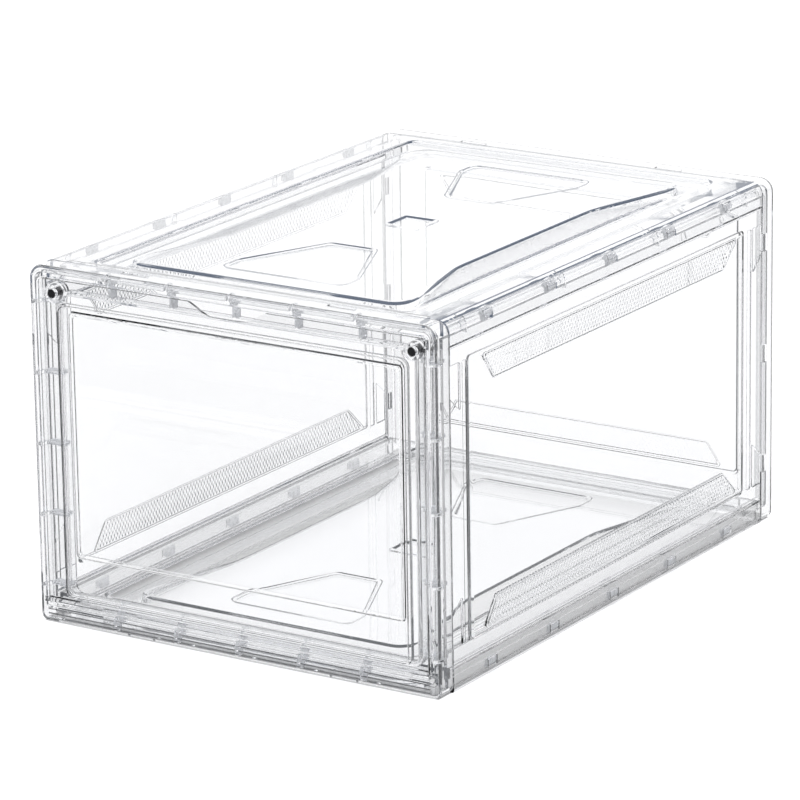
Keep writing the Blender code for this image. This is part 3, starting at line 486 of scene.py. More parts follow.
def build_front_frame():
    seat_back = RECESS + WALL
    r_seat = 0.005
    r_seat_back = r_seat + 0.0015
    wall_in, wall_in_low = LIP - WALL, LIP_BOTTOM - WALL
    seat_in, seat_in_low = SEAT - WALL, SEAT_BOTTOM - WALL
    foot = CORNER_R - FOOT_R
    outer = rounded_outer(lambda i, d, r: frame_loop(i, i, d, max(r - foot, 0.0012), r))
    # inset, inset at the bottom, depth, lower and upper corner radius, fillet
    inner = (
        (LIP, LIP_BOTTOM, 0, 0.0015, 0.003, 0.0007),
        (LIP, LIP_BOTTOM, RECESS, 0.0015, 0.003, 0.0003),
        (SEAT, SEAT_BOTTOM, RECESS, r_seat, r_seat, 0.0006),
        (SEAT, SEAT_BOTTOM, RING_D, r_seat, r_seat, 0.0003),
        (seat_in, seat_in_low, RING_D, r_seat_back, r_seat_back, 0.0002),
        (seat_in, seat_in_low, seat_back, r_seat_back, r_seat_back, 0.0006),
        (wall_in, wall_in_low, seat_back, 0.0025, 0.004, 0.0005),
        (wall_in, wall_in_low, WALL, 0.0025, 0.004, 0.0005),
        (WALL, WALL, WALL, FOOT_R - WALL, CORNER_R - WALL, 0.0006),
        (WALL, WALL, RING_D, FOOT_R - WALL, CORNER_R - WALL, 0.0002),
    )
    stack = [(frame_loop(0, 0, RING_D, FOOT_R, CORNER_R), 0.0003)]
    stack += [(loop, 0) for loop in outer]
    stack += [(frame_loop(*shape), r) for *shape, r in inner]
    obj = loops_object("front_frame_shell", fillet(stack), closed=True)

    def ribs(bm):
        bite = 0.0002        # the ribs run this far into the walls
        for j in (-2, -1, 0, 1, 2):
            x, z = j * FRAME_RIB_X, MID_Z + j * FRAME_RIB_Z
            for post, at, wall, seat in (("left", z, wall_in, seat_in),
                                         ("right", z, wall_in, seat_in),
                                         ("top", x, wall_in, seat_in),
                                         ("bottom", x, wall_in_low, seat_in_low)):
                add_frame_rib(bm, post, at, WALL - bite, wall + bite,
                              WALL - bite, seat_back - 0.0008)
                add_frame_rib(bm, post, at, 0.0050, seat + bite,
                              seat_back - bite, RING_D - 0.0008)

    def bosses(bm):
        for side in (-1, 1):
            add_cylinder_y(bm, side * MAG_X, MAG_Z, BOSS_R,
                           Y_FRONT + RECESS + 0.0002, Y_FRONT + 0.0118)

    def cuts(bm):
        for side in (-1, 1):
            add_cylinder_y(bm, side * MAG_X, MAG_Z, POCKET_R,
                           FRAME_MAG_Y - 0.0002, Y_FRONT + 0.0125)
            add_cylinder_x(bm, HINGE_Y, HINGE_Z, SOCKET_R,
                           side * (HALF_X - LIP - 0.0005), side * (HALF_X - LIP + WALL + 0.0005))
            add_clip_slots(bm, side, Y_FRONT + CLIP_Y0, Y_FRONT + CLIP_Y1)

    def foot_grooves(bm):
        ahead = 0.0005       # the cutters start this far in front of the face
        # height, depth and half width of each groove
        for z, depth, half in ((0.0034, 0.0011, 0.0005), (0.0054, 0.0009, 0.0004),
                               (0.0080, 0.0007, 0.0004)):
            spread = half * ((depth + ahead) / depth)
            outline = [(Y_FRONT - ahead, z - spread), (Y_FRONT - ahead, z + spread),
                       (Y_FRONT + depth, z + 0.00005), (Y_FRONT + depth, z - 0.00005)]
            add_prism_x(bm, outline, -HALF_X + 0.0060, HALF_X - 0.0060)

    combine(obj, ribs, 'UNION')
    combine(obj, bosses, 'UNION')
    combine(obj, cuts, 'DIFFERENCE')
    combine(obj, foot_grooves, 'DIFFERENCE')
    finish_mesh(obj)
    return obj


# ---------------------------------------------------------- top, base panels
QUADRANTS = ((1, 1), (-1, 1), (-1, -1), (1, -1))


def pan_loop(corner, flank):
    """A loop from its four corners and the flanks of its two long sides."""
    return (corner(1, 1) + corner(-1, 1) + flank(-1, 1) + flank(-1, -1)[::-1]
            + corner(-1, -1) + corner(1, -1) + flank(1, -1) + flank(1, 1)[::-1])


def plan_loop(x_end, x_mid, y_end, r, z, z_mid):
    """A rounded rectangle; the middle of its long sides lies at x_mid, z_mid."""
    def corner(side, end):
        start = math.pi / 2 * QUADRANTS.index((side, end))
        return [(x, y, z) for x, y in corner_points(side * (x_end - r), end * (y_end - r), r, start)]

    def eased(start, bend, end):
        return [start, start.lerp(bend, 0.6).lerp(bend.lerp(end, 0.4), 0.5), end]

    def flank(side, end):
        """From the long side into its notch, with both bends eased."""
        a, b = Vector((x_end, NOTCH_Y_OUT, z)), Vector((x_mid, NOTCH_Y_IN, z_mid))
        run = (eased(Vector((x_end, NOTCH_Y_OUT + 0.005, z)), a, a.lerp(b, 0.10))
               + eased(a.lerp(b, 0.88), b, Vector((x_mid, NOTCH_Y_IN - 0.008, z_mid))))
        return [(side * p.x, end * p.y, p.z) for p in run]
    return pan_loop(corner, flank)


def square_loop(x, y, z):
    """A square-cornered loop with as many points as a plan_loop."""
    half = ARC // 2

    def corner(side, end):
        points = []
        for i in range(ARC + 1):
            back = abs(i - half) / half * 0.010
            on_side = (i < half) == (side == end)
            points.append((side * x, end * (y - back), z) if on_side
                          else (side * (x - back), end * y, z))
        return points

    def flank(side, end):
        ys = (NOTCH_Y_OUT + 0.005, NOTCH_Y_OUT, NOTCH_Y_OUT - 0.006,
              NOTCH_Y_IN + 0.007, NOTCH_Y_IN, NOTCH_Y_IN - 0.008)
        return [(side * x, end * v, z) for v in ys]
    return pan_loop(corner, flank)


def build_pan(name, z_top, profile, x_top, x_low):
    """A top or base panel. profile is its long edge as (x, z from z_top), from the
    rim of the upper skin at x_top round to the rim of the lower skin at x_low."""
    t = WALL
    t_notch = t * 0.4
    y_end = Y_RING - GAP
    z_plateau = z_top - PLATEAU_DROP
    z_slope = z_plateau - 0.0013
    z_foot = z_top - 0.0043          # foot of the sloping faces in the notches
    z_moat = z_top - MOAT_DEPTH
    plateau, moat = (PLATEAU_X, PLATEAU_Y), (MOAT_X, MOAT_Y)
    notch_x = PLATEAU_NOTCH_X
    # half sizes, growth, x in the notch, corner radius, z, z in the notch, fillet
    upper = (
        (plateau, -0.0035, notch_x - 0.0035, 0.0075, z_plateau, z_plateau, 0),
        (plateau, 0.0, notch_x, 0.010, z_plateau, z_plateau, 0.0016),
        (plateau, 0.0004, notch_x + 0.0005, 0.0104, z_top - 0.0050, z_slope, 0.0003),
        (plateau, 0.0006, PLATEAU_X + 0.0005, 0.0106, z_top - 0.0055, z_foot, 0.0004),
        (plateau, 0.0008, PLATEAU_X + 0.0008, 0.0108, z_moat, z_moat, 0.0006),
        (moat, -0.0006, MOAT_X - 0.0006, 0.0064, z_moat, z_moat, 0.0009),
        (moat, 0.0, MOAT_X, 0.007, z_top, z_top, 0.0008),
    )
    lower = (
        (plateau, -t - 0.003, notch_x - t_notch - 0.003, 0.0065, z_plateau - t, z_plateau - t, 0),
        (plateau, -t, notch_x - t_notch, 0.0085, z_plateau - t, z_plateau - t, 0.0004),
        (plateau, 0.0004 - t, notch_x + 0.0005 - t_notch, 0.0088,
         z_top - 0.0065, z_slope - t, 0.0002),
        (plateau, 0.0006 - t, PLATEAU_X + 0.0005 - t, 0.0090, z_top - 0.0073, z_foot - t, 0.0002),
        (plateau, 0.0008 - t, PLATEAU_X + 0.0008 - t, 0.0092, z_moat - t, z_moat - t, 0.0006),
        (moat, -0.0006 + t, MOAT_X - 0.0006 + t, 0.0084, z_moat - t, z_moat - t, 0.0006),
        (moat, t, MOAT_X + t, 0.009, z_top - t, z_top - t, 0.0006),
    )

    def skin(bm, table, x_rim, z_rim):
        stack = [(plan_loop(x + growth, x_mid, y + growth, r, z, z_mid), bend)
                 for (x, y), growth, x_mid, r, z, z_mid, bend in table]
        stack.append((square_loop(x_rim, y_end, z_rim), 0))
        return add_loops(bm, fillet(stack, 4), cap=False)

    bm = bmesh.new()
    rows_up = skin(bm, upper, x_top, z_top)
    rows_low = skin(bm, lower, x_low, z_top - t)
    bm.faces.new(rows_up[0])
    bm.faces.new(rows_low[0])
    rim_up, rim_low = rows_up[-1], rows_low[-1]
    bars = {}
    for side in (-1, 1):
        for end in (-1, 1):
            bars[side, end] = [bm.verts.new((side * x, end * y_end, z_top + z))
                               for x, z in profile]
    for side in (-1, 1):
        a, b = bars[side, -1], bars[side, 1]
        for i in range(len(profile) - 1):
            bm.faces.new((a[i], a[i + 1], b[i + 1], b[i]))
        for rim, x_rim, i in ((rim_up, x_top, 0), (rim_low, x_low, -1)):
            edge = sorted((v for v in rim if abs(v.co.x - side * x_rim) < 1e-6),
                          key=lambda v: v.co.y)
            bm.faces.new(edge + [b[i], a[i]])
    for end in (-1, 1):
        edge_up, edge_low = (sorted((v for v in rim if abs(v.co.y - end * y_end) < 1e-6),
                                    key=lambda v: v.co.x) for rim in (rim_up, rim_low))
        bm.faces.new(edge_up + bars[1, end] + edge_low[::-1] + bars[-1, end][::-1])
    bm.normal_update()
    for f in bm.faces:       # the sloping faces of the notches carry the fine texture, and a greyer tint that is partly painted shade
        c = f.calc_center_median()
        if (abs(f.normal.z) > 0.6 and 0.002 < abs(f.normal.x) < 0.6
                and abs(c.y) < NOTCH_Y_OUT - 0.002
                and PLATEAU_NOTCH_X + 0.001 < abs(c.x) < PLATEAU_X + 0.0005
                and f.calc_area() > 2e-5
                and z_moat + 0.0008 < c.z < z_plateau - 0.0010):
            f.material_index = SATIN_SHADED
    return make_object(name, bm)


def shield(end, growth, z, r):
    """The shield-shaped outline, narrow towards the middle of the box."""
    far_x, near_x = SHIELD_X + growth, SHIELD_X_NEAR + growth
    far_y, near_y = SHIELD_Y_FAR + growth, SHIELD_Y_NEAR - growth
    points = [(-far_x, far_y), (far_x, far_y), (far_x, SHIELD_Y_MID),
              (near_x, near_y), (-near_x, near_y), (-far_x, SHIELD_Y_MID)]
    return [(x, end * y, z) for x, y in round_polygon(points, r, 6)]


def tile_loop(half, z, r):
    return [(x, y, z) for x, y in round_rect(-half, half, -half, half, r, r, 4)]


def relief(obj, z_flat):
    """Two shields and a square tile, sunk above and standing out below."""
    def pads(bm):
        low, high = z_flat - WALL - RELIEF_DEPTH, z_flat - WALL + 0.0006
        for end in (-1, 1):
            add_loops(bm, [shield(end, growth, z, 0.006) for growth, z in
                           ((0.0012, low), (0.0016, low + 0.0004), (0.0022, high))])
        half = TILE + 0.0018
        add_loops(bm, [tile_loop(half - 0.0004, low, 0.001), tile_loop(half, low + 0.0004, 0.0012),
                       tile_loop(half, high, 0.0012)])

    def hollows(bm):
        low, high = z_flat - RELIEF_DEPTH, z_flat + 0.001
        for end in (-1, 1):
            add_loops(bm, [shield(end, growth, z, 0.005) for growth, z in
                           ((-0.0013, low), (-0.0008, low + 0.0003), (-0.0001, z_flat - 0.0002),
                            (0.0004, z_flat + 0.00015), (0.0012, high))])
        add_loops(bm, [tile_loop(TILE - 0.0003, low, 0.0005), tile_loop(TILE, low + 0.0003, 0.0007),
                       tile_loop(TILE + 0.0003, z_flat - 0.0001, 0.0009),
                       tile_loop(TILE + 0.0009, high, 0.001)])
    combine(obj, pads, 'UNION')
    combine(obj, hollows, 'DIFFERENCE')


def add_arches(bm, start, reach, half, low, high):
    """Arched relief under the edge of the lid, over every snap."""
    for side, k in SNAPS:
        points = [(k * SNAP_Y + half * math.cos(math.pi * i / 16),
                   low + (high - low) * math.sin(math.pi * i / 16)) for i in range(17)]
        add_prism_x(bm, points, *sorted((side * start, side * reach)))


def build_top():
    z = BOX_H
    r, lip_r = EDGE_R, 0.0012
    n, lip_n = 9, 4          # segments of the two rounded edges
    cx = HALF_X - r
    # the rounded edge, the skirt, its inner face, the rail
    profile = [(cx + r * math.sin(math.pi / 2 * i / n), -r + r * math.cos(math.pi / 2 * i / n))
               for i in range(1, n + 1)]
    profile += [(HALF_X, -PAN_H + 0.0009), (HALF_X - 0.0003, -PAN_H + 0.0003),
                (HALF_X - 0.0009, -PAN_H), (HALF_X - WALL + 0.0002, -PAN_H),
                (HALF_X - WALL, -PAN_H + 0.0002), (HALF_X - WALL, -0.0066),
                (HALF_X - 0.0024, -0.0052), (HALF_X - 0.0026, -0.0042)]
    profile += [(HALF_X - 0.0038 + lip_r * math.cos(math.pi / 2 * i / lip_n),
                 -0.0038 + lip_r * math.sin(math.pi / 2 * i / lip_n))
                for i in range(1, lip_n + 1)]
    profile += [(RAIL_OUT_X + 0.0006, -0.0026), (RAIL_OUT_X + 0.0001, -0.0028),
                (RAIL_OUT_X, -0.0033), (RAIL_OUT_X, -0.0088), (RAIL_OUT_X - 0.0002, -0.0090),
                (RAIL_IN_X + 0.0002, -0.0090), (RAIL_IN_X, -0.0088)]
    obj = build_pan("top_panel_shell", z, profile, cx, RAIL_IN_X)

    def tongues_and_ribs(bm):
        add_tongues(bm, 0.1625, z - 0.001, z - TONGUE_IN, z - TONGUE_IN - WALL)
        for side in (-1, 1):
            for k in (-1.5, -0.5, 0.5, 1.5):
                add_box(bm, side * (RAIL_OUT_X - 0.0003), side * (HALF_X - WALL + 0.0003),
                        k * RIB_Y - 0.0005, k * RIB_Y + 0.0005, z - 0.0100, z - 0.0022)

    def windows(bm):
        for side, k in SNAPS:
            y = k * SNAP_Y
            add_box(bm, side * (RAIL_OUT_X + 0.0004), side * (HALF_X - 0.0021),
                    y - SNAP_W / 2, y + SNAP_W / 2, z - 0.0080, z - 0.0029)

    def pockets(bm):
        for side, k in SNAPS:
            y = k * SNAP_Y
            # those at the ends are narrower and go through the skirt
            half, reach = (0.0026, 0.001) if abs(k) == 2 else (SNAP_W / 2, -0.0011)
            add_box(bm, side * (HALF_X - 0.0025), side * (HALF_X + reach),
                    y - half, y + half, z - 0.0082, z - 0.0045)

    def gate_marks(bm):
        for x, y, floor_z in ((-0.059, 0.111, z - PLATEAU_DROP), (-0.0915, 0.113, z - MOAT_DEPTH)):
            add_loops(bm, [[(x + dx, y + dy, floor_z + rise) for dx, dy in circle(radius, 20, 0.0)]
                           for radius, rise in ((0.0013, -0.0004), (0.0013, 0.0001),
                                                (0.0010, 0.00025))])

    combine(obj, tongues_and_ribs, 'UNION')
    combine(obj, lambda bm: add_catches(bm, z - TONGUE_IN - 0.0005, z - 0.0009), 'UNION')
    combine(obj, windows, 'DIFFERENCE')
    combine(obj, pockets, 'DIFFERENCE')
    # start and reach in x, half width, foot and crown of the arches
    for arches in ((HALF_X - 0.0040, HALF_X - 0.0033, 0.0100, z - 0.0030, z - 0.0022),
                   (HALF_X - 0.0045, HALF_X - 0.0038, 0.0062, z - 0.0031, z - 0.0019)):
        combine(obj, lambda bm: add_arches(bm, *arches), 'DIFFERENCE')
    relief(obj, z - PLATEAU_DROP)
    combine(obj, gate_marks, 'UNION')
    finish_mesh(obj)
    return obj


def build_base():
    z = PAN_H
    r, n = 0.0015, 5         # the rounded lower edge
    inner_x = HALF_X - WALL
    # the floor of the groove, its outer wall, the outside
    profile = [(RAIL_OUT_X, -PAN_H + WALL + 0.0003), (RAIL_OUT_X + 0.0003, -PAN_H + WALL),
               (inner_x - 0.0003, -PAN_H + WALL), (inner_x, -PAN_H + WALL + 0.0003),
               (inner_x, -0.0002), (inner_x + 0.0002, 0.0),
               (HALF_X - 0.0004, 0.0), (HALF_X - 0.0001, -0.0001), (HALF_X, -0.0004)]
    profile += [(HALF_X - r + r * math.cos(math.pi / 2 * i / n),
                 -PAN_H + r - r * math.sin(math.pi / 2 * i / n)) for i in range(n + 1)]
    profile += [(RAIL_IN_X, -PAN_H)]
    obj = build_pan("base_panel_shell", z, profile, RAIL_OUT_X, RAIL_IN_X)

    def windows(bm):
        for side, k in SNAPS:
            add_box(bm, side * (inner_x - 0.0005), side * (HALF_X - 0.0008),
                    k * SNAP_Y - SNAP_W / 2, k * SNAP_Y + SNAP_W / 2, 0.0032, 0.0085)

    combine(obj, lambda bm: add_tongues(bm, 0.1650, z - 0.001, TONGUE_IN + WALL, TONGUE_IN),
            'UNION')
    combine(obj, lambda bm: add_catches(bm, 0.0009, TONGUE_IN + 0.0005), 'UNION')
    combine(obj, windows, 'DIFFERENCE')
    relief(obj, z - PLATEAU_DROP)
    for f in obj.data.polygons:      # the inner faces of the outer walls take the darker satin tint, painted shade for the shade the skirt falls in near the floor
        if abs(abs(f.center.x) - inner_x) < 2e-5 and abs(f.normal.x) > 0.99 and f.area > 1e-4:
            f.material_index = SATIN_SHADED
    finish_mesh(obj)
    return obj


# --------------------------------------------------------------- side panels
def build_side(name, side):
    face = SIDE_FACE
    back = face + WALL
    floor = face + WIN_SINK
    tongue_out = TONGUE_IN + 0.0001
    tongue_in = tongue_out + WALL
    z0, z1 = PAN_H + GAP, BOX_H - PAN_H - GAP
    tip_z0, tip_z1 = z0 - 0.0052, z1 + 0.0052
    y_end = Y_RING - GAP
    sharp = 0.0004
    # (half length, lowest z, highest z)
    window = (WIN_Y, MID_Z - WIN_Z, MID_Z + WIN_Z)
    edge = (y_end, z0, z1)
    tongue = (Y_RING + TONGUE_REACH - GAP, tip_z0, tip_z1)
    # rectangle, inset, corner radius, depth from the side of the box, fillet
    rows = (
        (window, 0.0030, 0.0006, floor, 0),
        (window, 0.0020, 0.0008, floor, 0.0004),
        (window, 0.0015, 0.0010, floor - 0.0007, 0.0004),
        (window, 0.0005, 0.0013, floor - 0.0008, 0.0003),
        (window, 0.0, 0.0016, face, 0.0005),
        (edge, 0.0007, sharp, face, 0.0004),
        (edge, 0.0, sharp, face + 0.0008, 0.0004),
        (edge, 0.0, sharp, tongue_out, 0.0002),
        (tongue, 0.0, sharp, tongue_out, 0.0002),
        (tongue, 0.0, sharp, tongue_in, 0.0002),
        (edge, WALL, sharp, tongue_in, 0.0002),
        (edge, WALL, sharp, back, 0.0002),
        (window, 0.0002 - WALL, 0.0030, back, 0.0004),
        (window, 0.0007 - WALL, 0.0028, back + WIN_SINK, 0.0005),
        (window, 0.0025, 0.0006, back + WIN_SINK, 0),
    )
    stack = [([(side * (HALF_X - depth), y, z) for y, z in inset_rect(rect, inset, r, r, 5)], bend)
             for rect, inset, r, depth, bend in rows]
    obj = loops_object(name, fillet(stack))
    floor_x = HALF_X - face - WIN_SINK
    for level in (-1, 1):
        long_z = WIN_Z - 0.0005      # the pad runs up into the window's edge
        short_z = WIN_Z - 0.0024 - STRIP_H
        outline = [(-0.1345, level * long_z), (0.1425, level * long_z),
                   (0.1245, level * short_z), (-0.1220, level * short_z)]
        knurled_pad(obj, lambda u, v, h: (side * (floor_x + h), u, MID_Z + v), outline)

    def tabs(bm):
        x_in, x_out, x_tip = (side * (HALF_X - depth) for depth in (tongue_in, tongue_out, 0.0012))
        top = [(x_in, tip_z1 - 0.001), (x_out, tip_z1 - 0.001), (x_out, BOX_H - 0.0072),
               (x_tip, BOX_H - 0.0068), (x_tip, BOX_H - 0.0052), (x_out, BOX_H - 0.0034),
               (x_in, BOX_H - 0.0034)]
        bottom = [(x_in, tip_z0 + 0.001), (x_out, tip_z0 + 0.001), (x_out, 0.0080),
                  (x_tip, 0.0076), (x_tip, 0.0054), (x_out, 0.0038), (x_in, 0.0032)]
        for k in (-2, -1, 0, 1, 2):
            ys = (k * SNAP_Y - 0.0042, k * SNAP_Y + 0.0042)
            for outline in (top, bottom):
                add_loops(bm, [[(x, y, z) for x, z in outline] for y in ys], mat=GLINT_WHITE)

    def grown(points, growth):
        cy, cz = (sum(p[i] for p in points) / len(points) for i in (0, 1))
        return [(y + math.copysign(growth, y - cy), z + math.copysign(growth, z - cz))
                for y, z in points]

    def add_hollow(bm, outline, depth, flare):
        x_face = side * (HALF_X - face)
        add_loops(bm, [[(x, y, z) for y, z in round_polygon(grown(outline, growth), 0.0008, 3)]
                       for x, growth in ((side * (HALF_X - face - depth), -0.0002),
                                         (x_face - side * 0.0003, 0.0), (x_face, 0.0003),
                                         (side * (HALF_X + 0.001), flare))])

    def pockets(bm):
        high, outer_y = 0.0770, y_end + 0.002
        for end in (-1, 1):
            for level in (-1, 1):
                add_hollow(bm, [(end * y, MID_Z + level * z) for y, z in
                                ((outer_y, high), (POCKET_Y0, high),
                                 (POCKET_Y0, 0.0510), (outer_y, 0.0620))], POCKET_DEPTH, 0.0010)
            # the groove between the pockets and the window
            add_hollow(bm, [(end * y, MID_Z + z) for y, z in
                            ((0.1508, -high), (0.1548, -high), (0.1548, high), (0.1508, high))],
                       0.0010, 0.0008)

    combine(obj, tabs, 'UNION')
    combine(obj, pockets, 'DIFFERENCE')
    finish_mesh(obj)
    return obj


# ---------------------------------------------------------------- back panel
def back_loop(inset, depth, r):
    """A loop at a depth from the back face; large corners are rounded less below."""
    r_low = max(r - (CORNER_R - FOOT_R), 0.0012) if r > 0.0046 else r
    points = round_rect(-HALF_X + inset, HALF_X - inset, inset, BOX_H - inset, r_low, r)
    return [(x, HALF_Y - depth, z) for x, z in points]


def build_back():
    t = WALL
    rail = RAIL_IN + 0.0002
    rail_end = RING_D - TONGUE_REACH + 0.0025
    floor_edge, floor_in = BACK_WIN + 0.0006, BACK_WIN + 0.0030
    # inset, depth from the back face, corner radius, fillet
    window = ((floor_in, WIN_SINK, 0.0012, 0), (floor_edge, WIN_SINK, 0.0024, 0.0004),
              (BACK_WIN, 0, 0.003, 0.0006))
    inner = (
        (0, RING_D, CORNER_R, 0.0003),
        (t, RING_D, CORNER_R - t, 0.0002),
        (t, t, CORNER_R - t, 0.0006),
        (rail, t, 0.0036, 0.0005),
        (rail, rail_end, 0.0036, 0.0003),
        (rail + RAIL_T, rail_end, 0.0026, 0.0003),
        (rail + RAIL_T, t, 0.0026, 0.0005),
        (BACK_WIN - t + 0.0002, t, 0.0045, 0.0004),
        (floor_edge - t + 0.0002, t + WIN_SINK, 0.0040, 0.0005),
        (floor_in, t + WIN_SINK, 0.0012, 0),
    )
    stack = [(back_loop(*shape), r) for *shape, r in window]
    stack += [(loop, 0) for loop in rounded_outer(back_loop)[::-1]]
    stack += [(back_loop(*shape), r) for *shape, r in inner]
    obj = loops_object("back_panel_shell", fillet(stack))
    long_x, short_x = HALF_X - 0.034, HALF_X - 0.044
    long_z = MID_Z - 0.0256
    short_z = long_z - STRIP_H
    for level in (-1, 1):
        outline = [(-long_x, level * long_z), (long_x, level * long_z),
                   (short_x, level * short_z), (-short_x, level * short_z)]
        knurled_pad(obj, lambda u, v, h: (u, HALF_Y - WIN_SINK + h, MID_Z + v), outline)

    def cuts(bm):
        y0, y1 = HALF_Y - CLIP_Y1, HALF_Y - CLIP_Y0
        for side in (-1, 1):
            add_clip_slots(bm, side, y0, y1)
            for j in (-1, 0, 1):
                zc = MID_Z + j * 0.066
                add_box(bm, side * (HALF_X - CLIP_DEPTH), side * (HALF_X + 0.001), y0, y1,
                        zc - 0.0052, zc + 0.0052)
    combine(obj, cuts, 'DIFFERENCE')
    finish_mesh(obj)
    return obj


# ---------------------------------------------------------------------- door
def build_door():
    t = DOOR_T
    wall = t - 0.0002        # the back skin is drawn out by this at the steps
    field, window = DOOR_SINK, DOOR_WIN_SINK
    # rectangle, inset, depth, lower and upper corner radius, fillet
    rows = (
        (DOOR_WIN, 0.002, window, 0.0008, 0.0008, 0),
        (DOOR_WIN, 0.0, window, 0.0012, 0.0012, 0.0004),
        (DOOR_WIN, -0.0012, field, 0.0018, 0.0018, 0.0002),
        (DOOR_WIN, -0.0016, field, 0.0020, 0.0020, 0),
        (DOOR_WIN, -0.0019, field + 0.0004, 0.0022, 0.0022, 0),
        (DOOR_WIN, -0.0022, field, 0.0024, 0.0024, 0),
        (DOOR_STEP, 0.0005, field, 0.0020, 0.0038, 0.0005),
        (DOOR_STEP, 0.0, 0.0, 0.0025, 0.0043, 0.0003),
        (DOOR_STEP, -0.0005, 0.0, 0.0028, 0.0046, 0),
        (DOOR_STEP, -0.0008, 0.0004, 0.0030, 0.0048, 0),
        (DOOR_STEP, -0.0011, 0.0, 0.0032, 0.0050, 0),
        (DOOR_EDGE, 0.0, 0.0, 0.0008, 0.0025, 0.0004),
        (DOOR_EDGE, 0.0, t, 0.0008, 0.0025, 0.0003),
        (DOOR_STEP, -wall, t, 0.0032, 0.0056, 0.0004),
        (DOOR_STEP, 0.0005 - wall, field + t, 0.0028, 0.0052, 0.0006),
        (DOOR_WIN, -0.0012 - wall, field + t, 0.0026, 0.0026, 0.0004),
        (DOOR_WIN, -wall, window + t, 0.0020, 0.0020, 0.0004),
        (DOOR_WIN, 0.002, window + t, 0.0008, 0.0008, 0),
    )
    stack = [([(x, Y_FRONT + depth, z) for x, z in inset_rect(rect, inset, r_low, r_high)], bend)
             for rect, inset, depth, r_low, r_high, bend in rows]
    obj = loops_object("door_shell", fillet(stack))

    def barrel(bm):
        half = DOOR_EDGE_X - 0.0002
        add_cylinder_x(bm, HINGE_Y, HINGE_Z, BARREL_R, -half, half)

    def pins(bm):
        for side in (-1, 1):
            add_cylinder_x(bm, HINGE_Y, HINGE_Z, PIN_R,
                           *sorted((side * (DOOR_EDGE_X - 0.004), side * PIN_END)))

    def bosses(bm):
        for side in (-1, 1):
            add_cylinder_y(bm, side * MAG_X, MAG_Z, BOSS_R,
                           Y_FRONT + 0.0008, Y_FRONT + DOOR_SINK + t)

    def cuts(bm):
        for side in (-1, 1):
            add_cylinder_y(bm, side * MAG_X, MAG_Z, POCKET_R, DOOR_MAG_Y - 0.0002, Y_FRONT + 0.0075)
        grip = []
        for i in range(45):      # a shallow thumb notch with an eased floor
            x = -GRIP_HALF + 2 * GRIP_HALF * i / 44
            u = min(1.0, max(0.0, (abs(x) - GRIP_FLAT) / (GRIP_HALF - GRIP_FLAT)))
            rise = DOOR_EDGE_Z + 0.0008 - GRIP_FLOOR_Z
            grip.append((x, GRIP_FLOOR_Z + rise * u * u * (3 - 2 * u)))
        grip += [(GRIP_HALF + 0.001, DOOR_EDGE_Z + 0.002), (-GRIP_HALF - 0.001, DOOR_EDGE_Z + 0.002)]
        add_loops(bm, [[(x, y, z) for x, z in grip] for y in (Y_FRONT - 0.002, Y_FRONT + t + 0.001)])

    combine(obj, barrel, 'UNION')
    combine(obj, pins, 'UNION')
    combine(obj, bosses, 'UNION')
    combine(obj, cuts, 'DIFFERENCE')
    finish_mesh(obj)
    return obj


# ------------------------------------------------------------------- magnets
def build_magnet(name, cx, y):
    """A disc with rounded rims, its front face at y."""
    rim = 0.00022
    half = [(y, 0.0009), (y, 0.0016)]        # (y, radius) of the front half
    for i in (3, 2, 1, 0):
        angle = math.pi / 2 * i / 3
        half.append((y + rim * (1 - math.sin(angle)), MAG_R - rim * (1 - math.cos(angle))))
    steps = half + [(2 * y + MAG_L - at, r) for at, r in half[::-1]]
    obj = loops_object(name, [[(cx + x, at, MAG_Z + z) for x, z in circle(r, 48, 0.0)]
                              for at, r in steps])
    finish_mesh(obj)
    return obj


